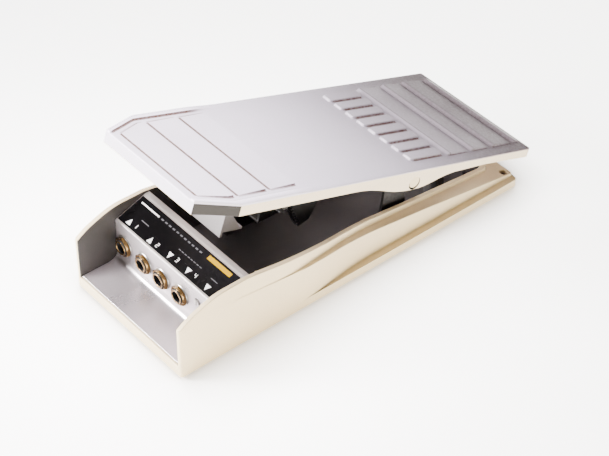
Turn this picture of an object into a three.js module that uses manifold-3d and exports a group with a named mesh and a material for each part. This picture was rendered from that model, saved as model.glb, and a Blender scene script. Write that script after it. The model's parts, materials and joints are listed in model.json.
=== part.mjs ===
// Volume pedal: a rocking foot treadle on a low cast base with a jack panel at the toe end.
// Units are millimetres. +Z is up, the toe end is at -Y, the heel end at +Y and the width is along X.
// The origin is on the surface that the feet stand on, at the middle of the whole pedal's length.
import * as THREE from 'three';
import { mergeVertices } from 'three/addons/utils/BufferGeometryUtils.js';
import Module from 'manifold-3d';

const wasm = await Module();
wasm.setup();

// ---------------------------------------------------------------- driving dimensions
const LENGTH = 258;            // toe of the base to the heel edge of the treadle, treadle at rest
const TOE = -LENGTH / 2;       // Y of the base's toe end
const FOOT_HEIGHT = 1.5;       // how far the rubber feet hold the base off the floor
const HALF_WIDTH = 47.5;       // half of the base's and the treadle's width

const BASE_LENGTH = 249;       // length of the base casting
const WALL = 2.9;              // thickness of the casting's side walls
const CHEEK_TOP = 45.3;        // height of the two cheeks beside the jack panel
const CHEEK_INSIDE = 44.6;     // half of the width between the cheeks
const SILL_DEPTH = 16;         // length of the solid sill at the toe
const SILL_TOP = 6.9;          // height of that sill
const LEDGE_HEIGHT = 5.5;      // height of the lowest, widest tier
const REBATE = 1.3;            // depth of the rebate for the bottom plate
const PLATE = 1.2;             // thickness of the bottom plate

const SHEET = 1.0;             // thickness of the folded jack panel
const PANEL_Y = 25.6;          // distance of the jack panel's face from the toe
const PANEL_TOP = 36;          // height where the jack panel folds over
const PANEL_BACK = 49.8;       // distance of the fold's back edge from the toe
const PANEL_SLOPE = 20;        // degrees by which the label face rises towards the heel
const PANEL_RIDGE = 46.3;      // distance of the top of that slope from the toe
const JACK_X = [-36.4, -18, -2.1, 14.5];
const JACK_Z = 22;
const JACK_BORE = 3.3;         // radius of the socket for a quarter-inch plug
const TRIMMER_X = 29.4;
const TRIMMER_Z = 27;

const PIVOT_Y = 164.5;         // distance of the treadle's axle from the toe
const PIVOT_Z = 48.1;          // height of the axle above the base's underside
const REST_TILT = 19;          // degrees, toe up
const AXLE_RADIUS = 2.7;
const EYE_RADIUS = 4.7;        // outside of the brackets' eyes, which pass just under the treadle's plate
const TREADLE_TOE = -155.4;    // the treadle's toe end, from the axle along the treadle
const TREADLE_HEEL = 96.2;     // the treadle's heel end, from the axle along the treadle
const TREADLE_TOP = 7.6;       // the treadle's top face, above the axle
const TREADLE_SHEET = 2.4;     // thickness of the treadle's plate and skirts
const SKIRT = 6.6;             // depth of the skirt from the top face
const PIVOT_SKIRT = 12.7;      // depth of the skirt at the axle

const GEAR_MODULE = 0.8;
const SECTOR_TEETH = 150;      // teeth that a whole wheel of the sector's size would have
const PINION_TEETH = 12;
const SECTOR_RADIUS = GEAR_MODULE * SECTOR_TEETH / 2;
const PINION_RADIUS = GEAR_MODULE * PINION_TEETH / 2;
const MESH_BELOW = 4;          // degrees below level at which the two gears meet
const GEAR_X = [7, 12];        // the sector's two faces
const POT_PLATE_X = [2, 3.5];  // the two faces of the potentiometer's bracket

// ---------------------------------------------------------------- materials
const finish = (color, roughness, metalness) =>
  new THREE.MeshStandardMaterial({ color, roughness, metalness });
const FINISH = {
  silverPaint: () => finish(0xd9d3de, 0.45, 0.35),
  creamPaint: () => finish(0xe2d8c8, 0.5, 0.25),
  panelPaint: () => finish(0xcfc9d2, 0.45, 0.3),
  darkSteel: () => finish(0x3c3838, 0.6, 0.6),
  brightSteel: () => finish(0xb9b6b0, 0.3, 0.9),
  brass: () => finish(0xc9a55c, 0.3, 0.95),
  bronze: () => finish(0x9a6f3c, 0.4, 0.9),
  blackPlastic: () => finish(0x17161a, 0.55, 0.0),
  labelBlack: () => finish(0x0c0b0e, 0.35, 0.0),
  rubber: () => finish(0x1c1b1b, 0.9, 0.0),
  board: () => finish(0x6b5a2e, 0.6, 0.0),
};

// ---------------------------------------------------------------- shape helpers
const degrees = (angle) => THREE.MathUtils.degToRad(angle);
const along = (distance) => TOE + distance;      // Y of a point this far from the toe
const up = (height) => FOOT_HEIGHT + height;     // Z of a point this far above the base's underside

function toSolid(geometry) {
  const bare = geometry.clone();
  bare.deleteAttribute('normal');
  bare.deleteAttribute('uv');
  const merged = mergeVertices(bare, 1e-4);
  return new wasm.Manifold(new wasm.Mesh({
    numProp: 3,
    vertProperties: new Float32Array(merged.attributes.position.array),
    triVerts: new Uint32Array(merged.index.array),
  }));
}

function toGeometry(solid) {
  const mesh = solid.getMesh();
  const geometry = new THREE.BufferGeometry();
  geometry.setAttribute('position', new THREE.BufferAttribute(mesh.vertProperties, 3));
  geometry.setIndex(new THREE.BufferAttribute(mesh.triVerts, 1));
  geometry.computeVertexNormals();
  return geometry;
}

function polar(radius, angle) {
  return [radius * Math.cos(angle), radius * Math.sin(angle)];
}

// The corners of a hexagon about the origin, the first at an angle in degrees.
function hexagon(radius, first) {
  return [0, 60, 120, 180, 240, 300].map((turn) => polar(radius, degrees(first + turn)));
}

const join = (...solids) => solids.reduce((sum, solid) => sum.add(solid));
const cut = (solid, ...tools) => tools.reduce((rest, tool) => rest.subtract(tool), solid);

function shapeOf(points, curveSegments = 12) {
  const shape = new THREE.Shape(points.map(([a, b]) => new THREE.Vector2(a, b)));
  shape.curveSegments = curveSegments;
  return shape;
}

function extruded(shape, depth, curveSegments = 12) {
  return new THREE.ExtrudeGeometry(shape, { depth, bevelEnabled: false, curveSegments });
}

// A plan outline (x, y) raised from z0 to z1.
function planSolid(shape, z0, z1, curveSegments = 12) {
  return toSolid(extruded(shape, z1 - z0, curveSegments).translate(0, 0, z0));
}

// A side outline (y, z) carried across from x0 to x1.
const SIDEWAYS = new THREE.Matrix4().makeBasis(
  new THREE.Vector3(0, 1, 0), new THREE.Vector3(0, 0, 1), new THREE.Vector3(1, 0, 0));
function sideSolid(shape, x0, x1, curveSegments = 12) {
  return toSolid(extruded(shape, x1 - x0, curveSegments).applyMatrix4(SIDEWAYS).translate(x0, 0, 0));
}

function boxSolid(x0, x1, y0, y1, z0, z1) {
  const box = new THREE.BoxGeometry(x1 - x0, y1 - y0, z1 - z0);
  return toSolid(box.translate((x0 + x1) / 2, (y0 + y1) / 2, (z0 + z1) / 2));
}

// A turned solid about an axis along 'x', 'y' or 'z': the profile lists (radius, place along the axis).
const TURN = {
  x: new THREE.Matrix4().makeRotationZ(-Math.PI / 2),
  y: new THREE.Matrix4(),
  z: new THREE.Matrix4().makeRotationX(Math.PI / 2),
};
function turned(profile, axis, centre, segments = 20) {
  const points = profile.map(([radius, place]) => new THREE.Vector2(radius, place));
  return toSolid(new THREE.LatheGeometry(points, segments).applyMatrix4(TURN[axis]).translate(...centre));
}

function rod(radius, from, to, axis, centre, segments = 20) {
  return turned([[0, from], [radius, from], [radius, to], [0, to]], axis, centre, segments);
}

function ring(inner, outer, from, to, axis, centre, segments = 20) {
  const section = [[inner, from], [outer, from], [outer, to], [inner, to], [inner, from]];
  return turned(section, axis, centre, segments);
}

const pedal = new THREE.Group();
pedal.name = 'volume_pedal';

function addPart(name, solid, material, parent = pedal) {
  const mesh = new THREE.Mesh(toGeometry(solid), material);
  mesh.name = name;
  parent.add(mesh);
  return mesh;
}

// ---------------------------------------------------------------- base casting
// Half outlines of the tiers in plan, from the toe to the heel, as a path of (distance, half width).
// Every tier keeps the full width at the toe and draws in behind the cheeks.
function mirroredPlan(drawHalf) {
  const path = new THREE.Path();
  drawHalf(path);
  const half = path.getPoints(9);
  const right = half.map((point) => new THREE.Vector2(point.y, along(point.x)));
  const left = half.map((point) => new THREE.Vector2(-point.y, along(point.x))).reverse();
  return new THREE.Shape([...right, ...left]);
}

// Rounds the two heel corners of a half outline that ends at the given distance and half width.
function roundHeel(path, end, halfWidth, radius) {
  path.lineTo(end - radius, halfWidth);
  path.quadraticCurveTo(end, halfWidth, end, halfWidth - radius);
}

const TOE_RADIUS = 1.5;
function startAtToe(path) {
  path.moveTo(0, HALF_WIDTH - TOE_RADIUS);
  path.quadraticCurveTo(0, HALF_WIDTH, TOE_RADIUS, HALF_WIDTH);
}

function lowTierPlan() {
  return mirroredPlan((path) => {
    startAtToe(path);
    roundHeel(path, BASE_LENGTH, HALF_WIDTH, 2.5);
  });
}

function middleTierPlan() {
  return mirroredPlan((path) => {
    startAtToe(path);
    path.lineTo(86, HALF_WIDTH);
    path.bezierCurveTo(104, 46.5, 116, 42.6, 142, 42.5);
    roundHeel(path, BASE_LENGTH, 43.3, 2);
  });
}

function topTierPlan(inset = 0) {
  return mirroredPlan((path) => {
    if (inset > 0) {
      path.moveTo(inset, HALF_WIDTH - inset);
    } else {
      startAtToe(path);
      path.lineTo(30, HALF_WIDTH);
    }
    path.lineTo(66, HALF_WIDTH - 0.35 - inset);
    path.bezierCurveTo(92, 46.9 - inset, 116, 37.6 - inset, 150, 36.9 - inset);
    roundHeel(path, 239 - inset, 33.6 - inset, 6);
  });
}

function middleTierSide() {
  const side = new THREE.Shape();
  side.moveTo(along(0), up(0));
  side.lineTo(along(BASE_LENGTH), up(0));
  side.lineTo(along(BASE_LENGTH), up(7.2));
  side.quadraticCurveTo(along(150), up(22.3), along(40), up(34.6));
  side.lineTo(along(20), up(30));
  side.lineTo(along(0), up(30));
  return side;
}

function rimSide() {
  const rim = [
    [240, 10.5], [208, 15.3], [176, 20.3], [144, 25.8], [111, 31.5], [94, 35.6], [77, 39.7], [61, 42.8],
    [46, CHEEK_TOP],
  ];
  const side = new THREE.Shape();
  side.moveTo(along(0), up(0));
  side.lineTo(along(240), up(0));
  side.lineTo(along(240), up(10.5));
  side.splineThru(rim.slice(1).map(([y, z]) => new THREE.Vector2(along(y), up(z))));
  side.lineTo(along(31), up(CHEEK_TOP));
  side.bezierCurveTo(along(22), up(CHEEK_TOP), along(14), up(41.5), along(8.4), up(39.4));
  side.quadraticCurveTo(along(4), up(37.2), along(0), up(34.2));
  return side;
}

// Places are (x, distance from the toe).
const BOSSES = [[41.2, 62], [-41.2, 62], [27.8, 228], [-27.8, 228]];   // take the bottom plate's screws
const BOSS_TOP = 11;
const STOP_POSTS = [[21, 206], [-21, 206]];                            // carry the heel stop pads
const STOP_POST_TOP = 24;
const LEDGE_SCREWS = [[39.8, 244.4], [-39.8, 244.4]];
const CLEARANCE = 1.7;         // radius of a hole that a screw passes through
const THREAD = 1.6;            // radius of a hole that a screw bites into
const ROD_STEPS = 12;          // sides of small hidden cylinders

function baseShell() {
  const tall = 60;
  const low = planSolid(lowTierPlan(), up(0), up(LEDGE_HEIGHT));
  const middle = planSolid(middleTierPlan(), up(0), up(tall)).intersect(
    sideSolid(middleTierSide(), -60, 60));
  const top = planSolid(topTierPlan(), up(0), up(tall)).intersect(sideSolid(rimSide(), -60, 60, 8));
  const frame = join(low, middle, top);
  const cavity = planSolid(topTierPlan(WALL), up(-1), up(tall)).intersect(
    boxSolid(-60, 60, along(52), along(BASE_LENGTH), up(-1), up(tall)));
  const jackBay = boxSolid(-CHEEK_INSIDE, CHEEK_INSIDE, along(SILL_DEPTH), along(53), up(-1), up(tall));
  const overSill = boxSolid(
    -CHEEK_INSIDE, CHEEK_INSIDE, along(-2), along(SILL_DEPTH + 1), up(SILL_TOP), up(tall));
  const rebate = boxSolid(-44.5, 44.5, along(3), along(243), up(-1), up(REBATE));
  const bosses = BOSSES.map(([x, y]) =>
    rod(4, up(REBATE), up(BOSS_TOP), 'z', [x, along(y), 0], ROD_STEPS));
  const posts = STOP_POSTS.map(([x, y]) =>
    rod(6, up(REBATE), up(STOP_POST_TOP), 'z', [x, along(y), 0], ROD_STEPS));
  const beam = boxSolid(-33.5, 33.5, along(204), along(208), up(REBATE), up(9));
  const holes = BOSSES.map(([x, y]) => rod(THREAD, up(0), up(9), 'z', [x, along(y), 0], ROD_STEPS));
  const pits = LEDGE_SCREWS.map(([x, y]) => rod(2.2, up(4), up(20), 'z', [x, along(y), 0], 18));
  const shell = cut(frame, cavity, jackBay, overSill, rebate);
  return cut(join(shell, ...bosses, ...posts, beam), ...holes, ...pits);
}

// ---------------------------------------------------------------- screws and feet
// A pan-head screw with a cross recess, its head above z = 0 and its shank below.
function panScrew(headRadius, shankRadius, length) {
  const headHeight = headRadius * 0.55;
  const profile = [
    [0, -length], [shankRadius, -length], [shankRadius, 0], [headRadius, 0],
    [headRadius, headHeight * 0.45], [headRadius * 0.72, headHeight * 0.9], [0, headHeight],
  ];
  const slot = headRadius * 0.16;
  const reach = headRadius * 0.55;
  const depth = headHeight * 0.45;
  const recessA = boxSolid(-slot, slot, -reach, reach, depth, headHeight + 1);
  const recessB = boxSolid(-reach, reach, -slot, slot, depth, headHeight + 1);
  return cut(turned(profile, 'z', [0, 0, 0], 12), recessA, recessB);
}

function addScrew(name, size, position, rotation, parent = pedal, material = FINISH.brightSteel()) {
  const screw = addPart(name, panScrew(...size), material, parent);
  screw.position.set(...position);
  screw.rotation.set(...rotation);
  return screw;
}

// ---------------------------------------------------------------- bottom plate
const FEET = [[-34, 22], [34, 22], [-34, 214], [34, 214]];
const PIVOT_BRACKET_X = 29;    // inner face of each bracket's upright
const BRACKET_SHEET = 2;       // thickness of those brackets
const BUSH_RADIUS = 3.5;       // outside of the bush where it passes through its bracket
const BRACKET_SCREW_X = 22;
const BRACKET_SCREW_Y = 7.5;
const POT_SCREWS = [[-31.5, 93], [-31.5, 107]];

function plateScrewSpots() {
  const spots = [];
  for (const side of [-1, 1]) {
    for (const end of [-1, 1]) {
      spots.push([side * BRACKET_SCREW_X, PIVOT_Y + end * BRACKET_SCREW_Y]);
    }
  }
  return [...spots, ...POT_SCREWS];
}

function bottomPlate() {
  const sheet = boxSolid(-44.1, 44.1, along(3.4), along(242.6), up(0), up(PLATE));
  const holes = [...BOSSES, ...plateScrewSpots()].map(([x, y]) =>
    rod(CLEARANCE, up(-1), up(3), 'z', [x, along(y), 0], ROD_STEPS));
  return cut(sheet, ...holes);
}

// ---------------------------------------------------------------- jack panel and label
// The label face in its own frame, from its front fold: (distance along the slope, height above it).
const SLOPE_LENGTH = (PANEL_RIDGE - PANEL_Y) / Math.cos(degrees(PANEL_SLOPE));
const onSlope = (distance, height) => [
  PANEL_Y + distance * Math.cos(degrees(PANEL_SLOPE)) - height * Math.sin(degrees(PANEL_SLOPE)),
  PANEL_TOP + distance * Math.sin(degrees(PANEL_SLOPE)) + height * Math.cos(degrees(PANEL_SLOPE)),
];
const COVE = 7;                // inside radius of the fold from the sill up to the face
const FLANGE = 6;              // depth of the flange behind the ridge

// The folded sheet as (distance from the toe, height) of its outer face, from the sill to the back flange.
function jackPanelSide() {
  const floor = SILL_TOP + 0.1;
  const [ridgeY, ridgeZ] = onSlope(SLOPE_LENGTH, 0);
  const backInside = PANEL_BACK - SHEET;
  const side = new THREE.Shape();
  side.moveTo(along(1.2), up(floor));
  side.lineTo(along(PANEL_Y - COVE), up(floor));
  const inner = along(PANEL_Y + SHEET);
  side.quadraticCurveTo(inner, up(floor), inner, up(floor + COVE + SHEET));
  side.lineTo(along(PANEL_Y + SHEET), up(PANEL_TOP - 0.7));
  side.lineTo(along(ridgeY + 0.2), up(ridgeZ - SHEET));
  side.lineTo(along(backInside), up(ridgeZ - SHEET + 0.1));
  side.lineTo(along(backInside), up(ridgeZ - FLANGE));
  side.lineTo(along(PANEL_BACK), up(ridgeZ - FLANGE));
  side.lineTo(along(PANEL_BACK), up(ridgeZ - 0.8));
  side.quadraticCurveTo(along(PANEL_BACK), up(ridgeZ + 0.1), along(PANEL_BACK - 0.9), up(ridgeZ + 0.1));
  side.lineTo(along(ridgeY + 0.5), up(ridgeZ + 0.1));
  side.quadraticCurveTo(along(ridgeY), up(ridgeZ + 0.1), ...onSlope(SLOPE_LENGTH - 0.6, 0).map(
    (value, index) => (index === 0 ? along(value) : up(value))));
  const [frontY, frontZ] = onSlope(0.8, 0);
  side.lineTo(along(frontY), up(frontZ));
  side.quadraticCurveTo(along(PANEL_Y), up(PANEL_TOP), along(PANEL_Y), up(PANEL_TOP - 0.9));
  side.lineTo(along(PANEL_Y), up(floor + SHEET + COVE));
  side.quadraticCurveTo(along(PANEL_Y), up(floor + SHEET), along(PANEL_Y - COVE), up(floor + SHEET));
  side.lineTo(along(1.2), up(floor + SHEET));
  return side;
}

function jackPanel() {
  const half = CHEEK_INSIDE - 0.15;
  const sheet = sideSolid(jackPanelSide(), -half, half, 6);
  const jackHoles = JACK_X.map((x) => rod(5, 0, 8, 'y', [x, along(PANEL_Y - 3), up(JACK_Z)], 20));
  const trimmerHole = rod(2.5, 0, 8, 'y', [TRIMMER_X, along(PANEL_Y - 3), up(TRIMMER_Z)], 20);
  return cut(sheet, ...jackHoles, trimmerHole);
}

const LABEL_HALF = 43.6;       // half of the label's width

function addLabel() {
  const slope = new THREE.Group();
  slope.position.set(0, along(PANEL_Y), up(PANEL_TOP));
  slope.rotation.x = degrees(PANEL_SLOPE);
  pedal.add(slope);
  const plate = boxSolid(-LABEL_HALF, LABEL_HALF, 1.4, 20.4, 0.1, 0.5);
  addPart('label_plate', plate, FINISH.labelBlack(), slope);
}

// ---------------------------------------------------------------- jacks, trimmer and board
const JACK_BODY_BACK = 45.2;
const BOARD_Y = [45.4, 47];

function jackBody() {
  const back = JACK_BODY_BACK - PANEL_Y;
  const housing = boxSolid(-5.7, 5.7, SHEET + 0.05, back, -7, 7);
  const nose = rod(4.75, -3.4, SHEET + 1, 'y', [0, 0, 0], 20);
  const bore = rod(JACK_BORE, -5, back - 2, 'y', [0, 0, 0], 20);
  const vent = boxSolid(-2, 2, 8, back - 4, 0, 9);
  return cut(join(housing, nose), bore, vent);
}

function jackWasher() {
  return ring(4.95, 6.6, -0.55, -0.02, 'y', [0, 0, 0], 20);
}

const NUT_CORNER = 6.45;

function jackNut() {
  const points = hexagon(NUT_CORNER, 30);
  const block = toSolid(extruded(shapeOf(points), 2).rotateX(Math.PI / 2).translate(0, -0.6, 0));
  const dome = [[0, -2.8], [5.4, -2.8], [NUT_CORNER, -1.9], [NUT_CORNER, 0], [0, 0]];
  const crown = turned(dome, 'y', [0, 0, 0], 20);
  return cut(block.intersect(crown), rod(4.9, -4, 1, 'y', [0, 0, 0], 20));
}

function addJacks() {
  const names = ['input_a', 'input_b', 'output_a', 'output_b'];
  JACK_X.forEach((x, index) => {
    const socket = new THREE.Group();
    socket.position.set(x, along(PANEL_Y), up(JACK_Z));
    pedal.add(socket);
    addPart(`jack_body_${names[index]}`, jackBody(), FINISH.blackPlastic(), socket);
    addPart(`jack_washer_${names[index]}`, jackWasher(), FINISH.brightSteel(), socket);
    addPart(`jack_nut_${names[index]}`, jackNut(), FINISH.brass(), socket);
  });
}

function addTrimmer() {
  const place = [TRIMMER_X, along(PANEL_Y), up(TRIMMER_Z)];
  const shell = boxSolid(-4.5, 4.5, SHEET + 0.05, 8, -4.5, 4.5);
  const body = addPart('level_trimmer_body', cut(shell, rod(2.3, 0, 6, 'y', [0, 0, 0], 20)),
    FINISH.blackPlastic());
  body.position.set(...place);
  const slot = boxSolid(-0.4, 0.4, -2, -0.2, -3, 3);
  const screw = addPart('level_trimmer_screw', cut(rod(2, -0.9, 5.7, 'y', [0, 0, 0], 20), slot),
    FINISH.brightSteel());
  screw.position.set(...place);
}

function circuitBoard() {
  return boxSolid(-40.5, 40.5, along(BOARD_Y[0]), along(BOARD_Y[1]), up(9), up(34));
}

// ---------------------------------------------------------------- pivot brackets, axle and bushes
function pivotBracket() {
  const halfFoot = 12;
  const outside = PIVOT_BRACKET_X + BRACKET_SHEET;
  const foot = boxSolid(16, outside, along(PIVOT_Y - halfFoot), along(PIVOT_Y + halfFoot),
    up(PLATE), up(PLATE + BRACKET_SHEET));
  const side = new THREE.Shape();
  side.moveTo(along(PIVOT_Y - halfFoot), up(PLATE));
  side.lineTo(along(PIVOT_Y + halfFoot), up(PLATE));
  side.lineTo(along(PIVOT_Y + EYE_RADIUS), up(PIVOT_Z));
  side.absarc(along(PIVOT_Y), up(PIVOT_Z), EYE_RADIUS, 0, Math.PI, false);
  const upright = sideSolid(side, PIVOT_BRACKET_X, outside, 14);
  const eye = rod(BUSH_RADIUS + 0.05, 20, 40, 'x', [0, along(PIVOT_Y), up(PIVOT_Z)], 20);
  const holes = [-1, 1].map((end) =>
    rod(CLEARANCE, up(0), up(6), 'z',
      [BRACKET_SCREW_X, along(PIVOT_Y + end * BRACKET_SCREW_Y), 0], ROD_STEPS));
  return cut(join(foot, upright), eye, ...holes);
}

function pivotBush() {
  const bore = AXLE_RADIUS + 0.1;
  const inner = PIVOT_BRACKET_X - 0.4;
  const shoulder = PIVOT_BRACKET_X + BRACKET_SHEET + 0.05;
  const outer = PIVOT_BRACKET_X + 3;
  const section = [
    [bore, inner], [BUSH_RADIUS, inner], [BUSH_RADIUS, shoulder], [EYE_RADIUS, shoulder],
    [EYE_RADIUS, outer], [bore, outer], [bore, inner],
  ];
  return turned(section, 'x', [0, along(PIVOT_Y), up(PIVOT_Z)], 20);
}

const mirrorX = (solid) => solid.mirror([1, 0, 0]);

function addPivot() {
  addPart('pivot_bracket_right', pivotBracket(), FINISH.darkSteel());
  addPart('pivot_bracket_left', mirrorX(pivotBracket()), FINISH.darkSteel());
  addPart('pivot_bush_right', pivotBush(), FINISH.bronze());
  addPart('pivot_bush_left', mirrorX(pivotBush()), FINISH.bronze());
  let count = 0;
  for (const [x, y] of plateScrewSpots().slice(0, 4)) {
    count += 1;
    const seat = up(PLATE + BRACKET_SHEET + 0.02);
    addScrew(`pivot_bracket_screw_${count}`, [2.8, 1.4, 3.2], [x, along(y), seat], [0, 0, 0]);
  }
}

// ---------------------------------------------------------------- gears and potentiometer
const MESH_DISTANCE = SECTOR_RADIUS + PINION_RADIUS;
const PINION_Y = PIVOT_Y - MESH_DISTANCE * Math.cos(degrees(MESH_BELOW));
const PINION_Z = PIVOT_Z - MESH_DISTANCE * Math.sin(degrees(MESH_BELOW));

// The outline of one straight-sided tooth centred on an angle, as (radius, angle) pairs.
function toothCorners(pitchRadius, teeth, centre) {
  const root = pitchRadius - 1.15 * GEAR_MODULE;
  const tip = pitchRadius + 0.85 * GEAR_MODULE;
  const step = 2 * Math.PI / teeth;
  return [
    [root, centre - 0.29 * step], [tip, centre - 0.1 * step],
    [tip, centre + 0.1 * step], [root, centre + 0.29 * step],
  ];
}

// The sector in the treadle's own frame (u along the treadle from the axle, h above the axle).
// Its teeth are laid out from the direction in which the pinion lies when the treadle is at rest.
function sectorSide() {
  const meshAngle = Math.PI + degrees(MESH_BELOW + REST_TILT);
  const step = 2 * Math.PI / SECTOR_TEETH;
  const first = -9;
  const last = 9;
  const points = [];
  for (let index = first; index <= last; index += 1) {
    const corners = toothCorners(SECTOR_RADIUS, SECTOR_TEETH, meshAngle + index * step);
    points.push(...corners.map(([radius, angle]) => polar(radius, angle)));
  }
  const inner = 49;
  const lowAngle = meshAngle + (last + 0.6) * step;
  const underside = TREADLE_TOP - TREADLE_SHEET - 0.3;
  points.push(polar(inner + 4, lowAngle + 0.02), polar(inner - 2, lowAngle - 0.04));
  points.push([-30, -18], [-22, -4], [-16, underside], [-57, underside]);
  return shapeOf(points);
}

const SECTOR_SCREWS = [[0.5, -48], [0.5, -26]];

function sectorGear() {
  const underside = TREADLE_TOP - TREADLE_SHEET - 0.3;
  const web = sideSolid(sectorSide(), GEAR_X[0], GEAR_X[1]);
  const flange = boxSolid(-5, GEAR_X[0] + 0.5, -54, -19, underside - 3, underside);
  const opening = shapeOf([[-50, -4], [-27, -4], [-33, -17], [-45, -17]]);
  const lightening = sideSolid(opening, GEAR_X[0] - 1, GEAR_X[1] + 1);
  const holes = SECTOR_SCREWS.map(([x, u]) =>
    rod(CLEARANCE, underside - 5, underside + 1, 'z', [x, u, 0], ROD_STEPS));
  return cut(join(web, flange), lightening, ...holes);
}

function pinion() {
  const points = [];
  const step = 2 * Math.PI / PINION_TEETH;
  const towardsPivot = degrees(MESH_BELOW);
  for (let index = 0; index < PINION_TEETH; index += 1) {
    const corners = toothCorners(PINION_RADIUS, PINION_TEETH, towardsPivot + (index + 0.5) * step);
    points.push(...corners.map(([radius, angle]) => polar(radius, angle)));
  }
  const wheel = sideSolid(shapeOf(points), GEAR_X[0] - 0.5, GEAR_X[1] + 0.5);
  return cut(wheel, rod(2.6, -20, 20, 'x', [0, 0, 0], 20));
}

const POT_SHELF = [88, 112];   // the bracket's width along the base, from the toe
const POT_SHELF_TOP = 32;      // height of the shelf that reaches over from the left wall
const POT_LEG_X = -27;         // outer face of the bracket's leg
const POT_SHEET = 1.5;         // thickness of the bracket
const POT_EAR = 8.4;           // radius of the bracket round the potentiometer's neck

// A bent bracket: foot by the left wall, leg, shelf, and an ear that carries the potentiometer.
function potBracket() {
  const [front, back] = POT_SHELF.map(along);
  const [earX0, earX1] = POT_PLATE_X;
  const ear = new THREE.Shape();
  ear.moveTo(front, up(POT_SHELF_TOP - POT_SHEET));
  ear.lineTo(back, up(POT_SHELF_TOP - POT_SHEET));
  ear.lineTo(along(PINION_Y + POT_EAR), up(PINION_Z));
  ear.absarc(along(PINION_Y), up(PINION_Z), POT_EAR, 0, Math.PI, false);
  const upright = sideSolid(ear, earX0, earX1, 14);
  const shelf = boxSolid(POT_LEG_X, earX1, front, back, up(POT_SHELF_TOP - POT_SHEET), up(POT_SHELF_TOP));
  const leg = boxSolid(POT_LEG_X, POT_LEG_X + POT_SHEET, front, back, up(PLATE), up(POT_SHELF_TOP));
  const foot = boxSolid(
    POT_LEG_X - 9, POT_LEG_X + POT_SHEET, front, back, up(PLATE), up(PLATE + POT_SHEET));
  const eye = rod(3.8, -10, 10, 'x', [0, along(PINION_Y), up(PINION_Z)], 20);
  const holes = POT_SCREWS.map(([x, y]) =>
    rod(CLEARANCE, up(0), up(6), 'z', [x, along(y), 0], ROD_STEPS));
  return cut(join(upright, shelf, leg, foot), eye, ...holes);
}

function potBody() {
  const face = POT_PLATE_X[0];
  const can = rod(8.2, face - 9.5, face - 0.05, 'x', [0, 0, 0], 24);
  const neck = rod(3.6, face - 1, POT_PLATE_X[1] + 2.5, 'x', [0, 0, 0], 20);
  const tags = boxSolid(face - 8, face - 6.5, -14, -6, -4, 4);
  const bore = rod(2.75, face - 6, face + 10, 'x', [0, 0, 0], 20);
  return cut(join(can, neck, tags), bore);
}

function potNut() {
  const block = sideSolid(shapeOf(hexagon(5.8, 0)), POT_PLATE_X[1] + 0.02, POT_PLATE_X[1] + 2.2);
  return cut(block, rod(3.75, 0, 20, 'x', [0, 0, 0], 20));
}

function addPotentiometer() {
  const place = [0, along(PINION_Y), up(PINION_Z)];
  addPart('pot_bracket', potBracket(), FINISH.darkSteel());
  addPart('potentiometer', potBody(), FINISH.darkSteel()).position.set(...place);
  addPart('pot_nut', potNut(), FINISH.brightSteel()).position.set(...place);
  addPart('pot_shaft', rod(2.5, POT_PLATE_X[0] - 5.5, GEAR_X[1] + 1.5, 'x', [0, 0, 0], 20),
    FINISH.brightSteel()).position.set(...place);
  addPart('pinion', pinion(), FINISH.blackPlastic()).position.set(...place);
  POT_SCREWS.forEach(([x, y], index) => {
    const seat = up(PLATE + POT_SHEET + 0.02);
    addScrew(`pot_bracket_screw_${index + 1}`, [2.8, 1.4, 2.7], [x, along(y), seat], [0, 0, 0]);
  });
}

// ---------------------------------------------------------------- treadle
// The treadle is drawn level in its own frame, with the axle at its origin, and its group is then tilted.
const CHAMFER_ACROSS = 9.8;
const CHAMFER_ALONG = 24.2;
const CORNER = 1.6;
const fromToe = (distance) => TREADLE_TOE + distance;

function treadlePlan(inset) {
  const w = HALF_WIDTH - inset;
  const toe = TREADLE_TOE + inset;
  const heel = TREADLE_HEEL - inset;
  const bend = TREADLE_TOE + CHAMFER_ALONG + inset * 0.2;
  const front = HALF_WIDTH - CHAMFER_ACROSS - inset * 0.67;
  const shape = new THREE.Shape();
  shape.moveTo(-front, toe);
  shape.lineTo(front, toe);
  shape.lineTo(w, bend);
  shape.lineTo(w, heel - CORNER);
  shape.quadraticCurveTo(w, heel, w - CORNER, heel);
  shape.lineTo(-w + CORNER, heel);
  shape.quadraticCurveTo(-w, heel, -w, heel - CORNER);
  shape.lineTo(-w, bend);
  return shape;
}

// The skirt's lower edge seen from the side: shallow at the ends and deeper at the axle.
function skirtSide() {
  const side = new THREE.Shape();
  side.moveTo(TREADLE_TOE - 1, TREADLE_TOP - 7.4);
  side.lineTo(fromToe(10), TREADLE_TOP - 7.0);
  side.lineTo(fromToe(108), TREADLE_TOP - SKIRT);
  side.bezierCurveTo(fromToe(124), TREADLE_TOP - SKIRT - 0.4, fromToe(140), TREADLE_TOP - PIVOT_SKIRT,
    fromToe(155), TREADLE_TOP - PIVOT_SKIRT);
  side.bezierCurveTo(fromToe(166), TREADLE_TOP - PIVOT_SKIRT, fromToe(174), TREADLE_TOP - 7,
    fromToe(188), TREADLE_TOP - 6.2);
  side.lineTo(fromToe(214), TREADLE_TOP - 5.2);
  side.lineTo(TREADLE_HEEL + 1, TREADLE_TOP - 6.2);
  side.lineTo(TREADLE_HEEL + 1, TREADLE_TOP);
  side.lineTo(TREADLE_TOE - 1, TREADLE_TOP);
  return side;
}

// Three wide bars across the toe end. Each rises a little from its toe edge to its heel edge.
const BARS = [[5.8, 25.4], [28.5, 47.8], [50.8, 68.6]];
const BAR_HALF_WIDTH = 39;
const BAR_HALF_AT_TOE = 32.1;  // half of the first bar's width at its toe edge, between the cut corners
const BAR_WIDENS = 17;         // length over which the first bar reaches its full width
const BAR_LOW = 0.1;           // height of a bar above the plate at its toe edge
const BAR_HIGH = 0.9;          // the same at its heel edge

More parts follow.
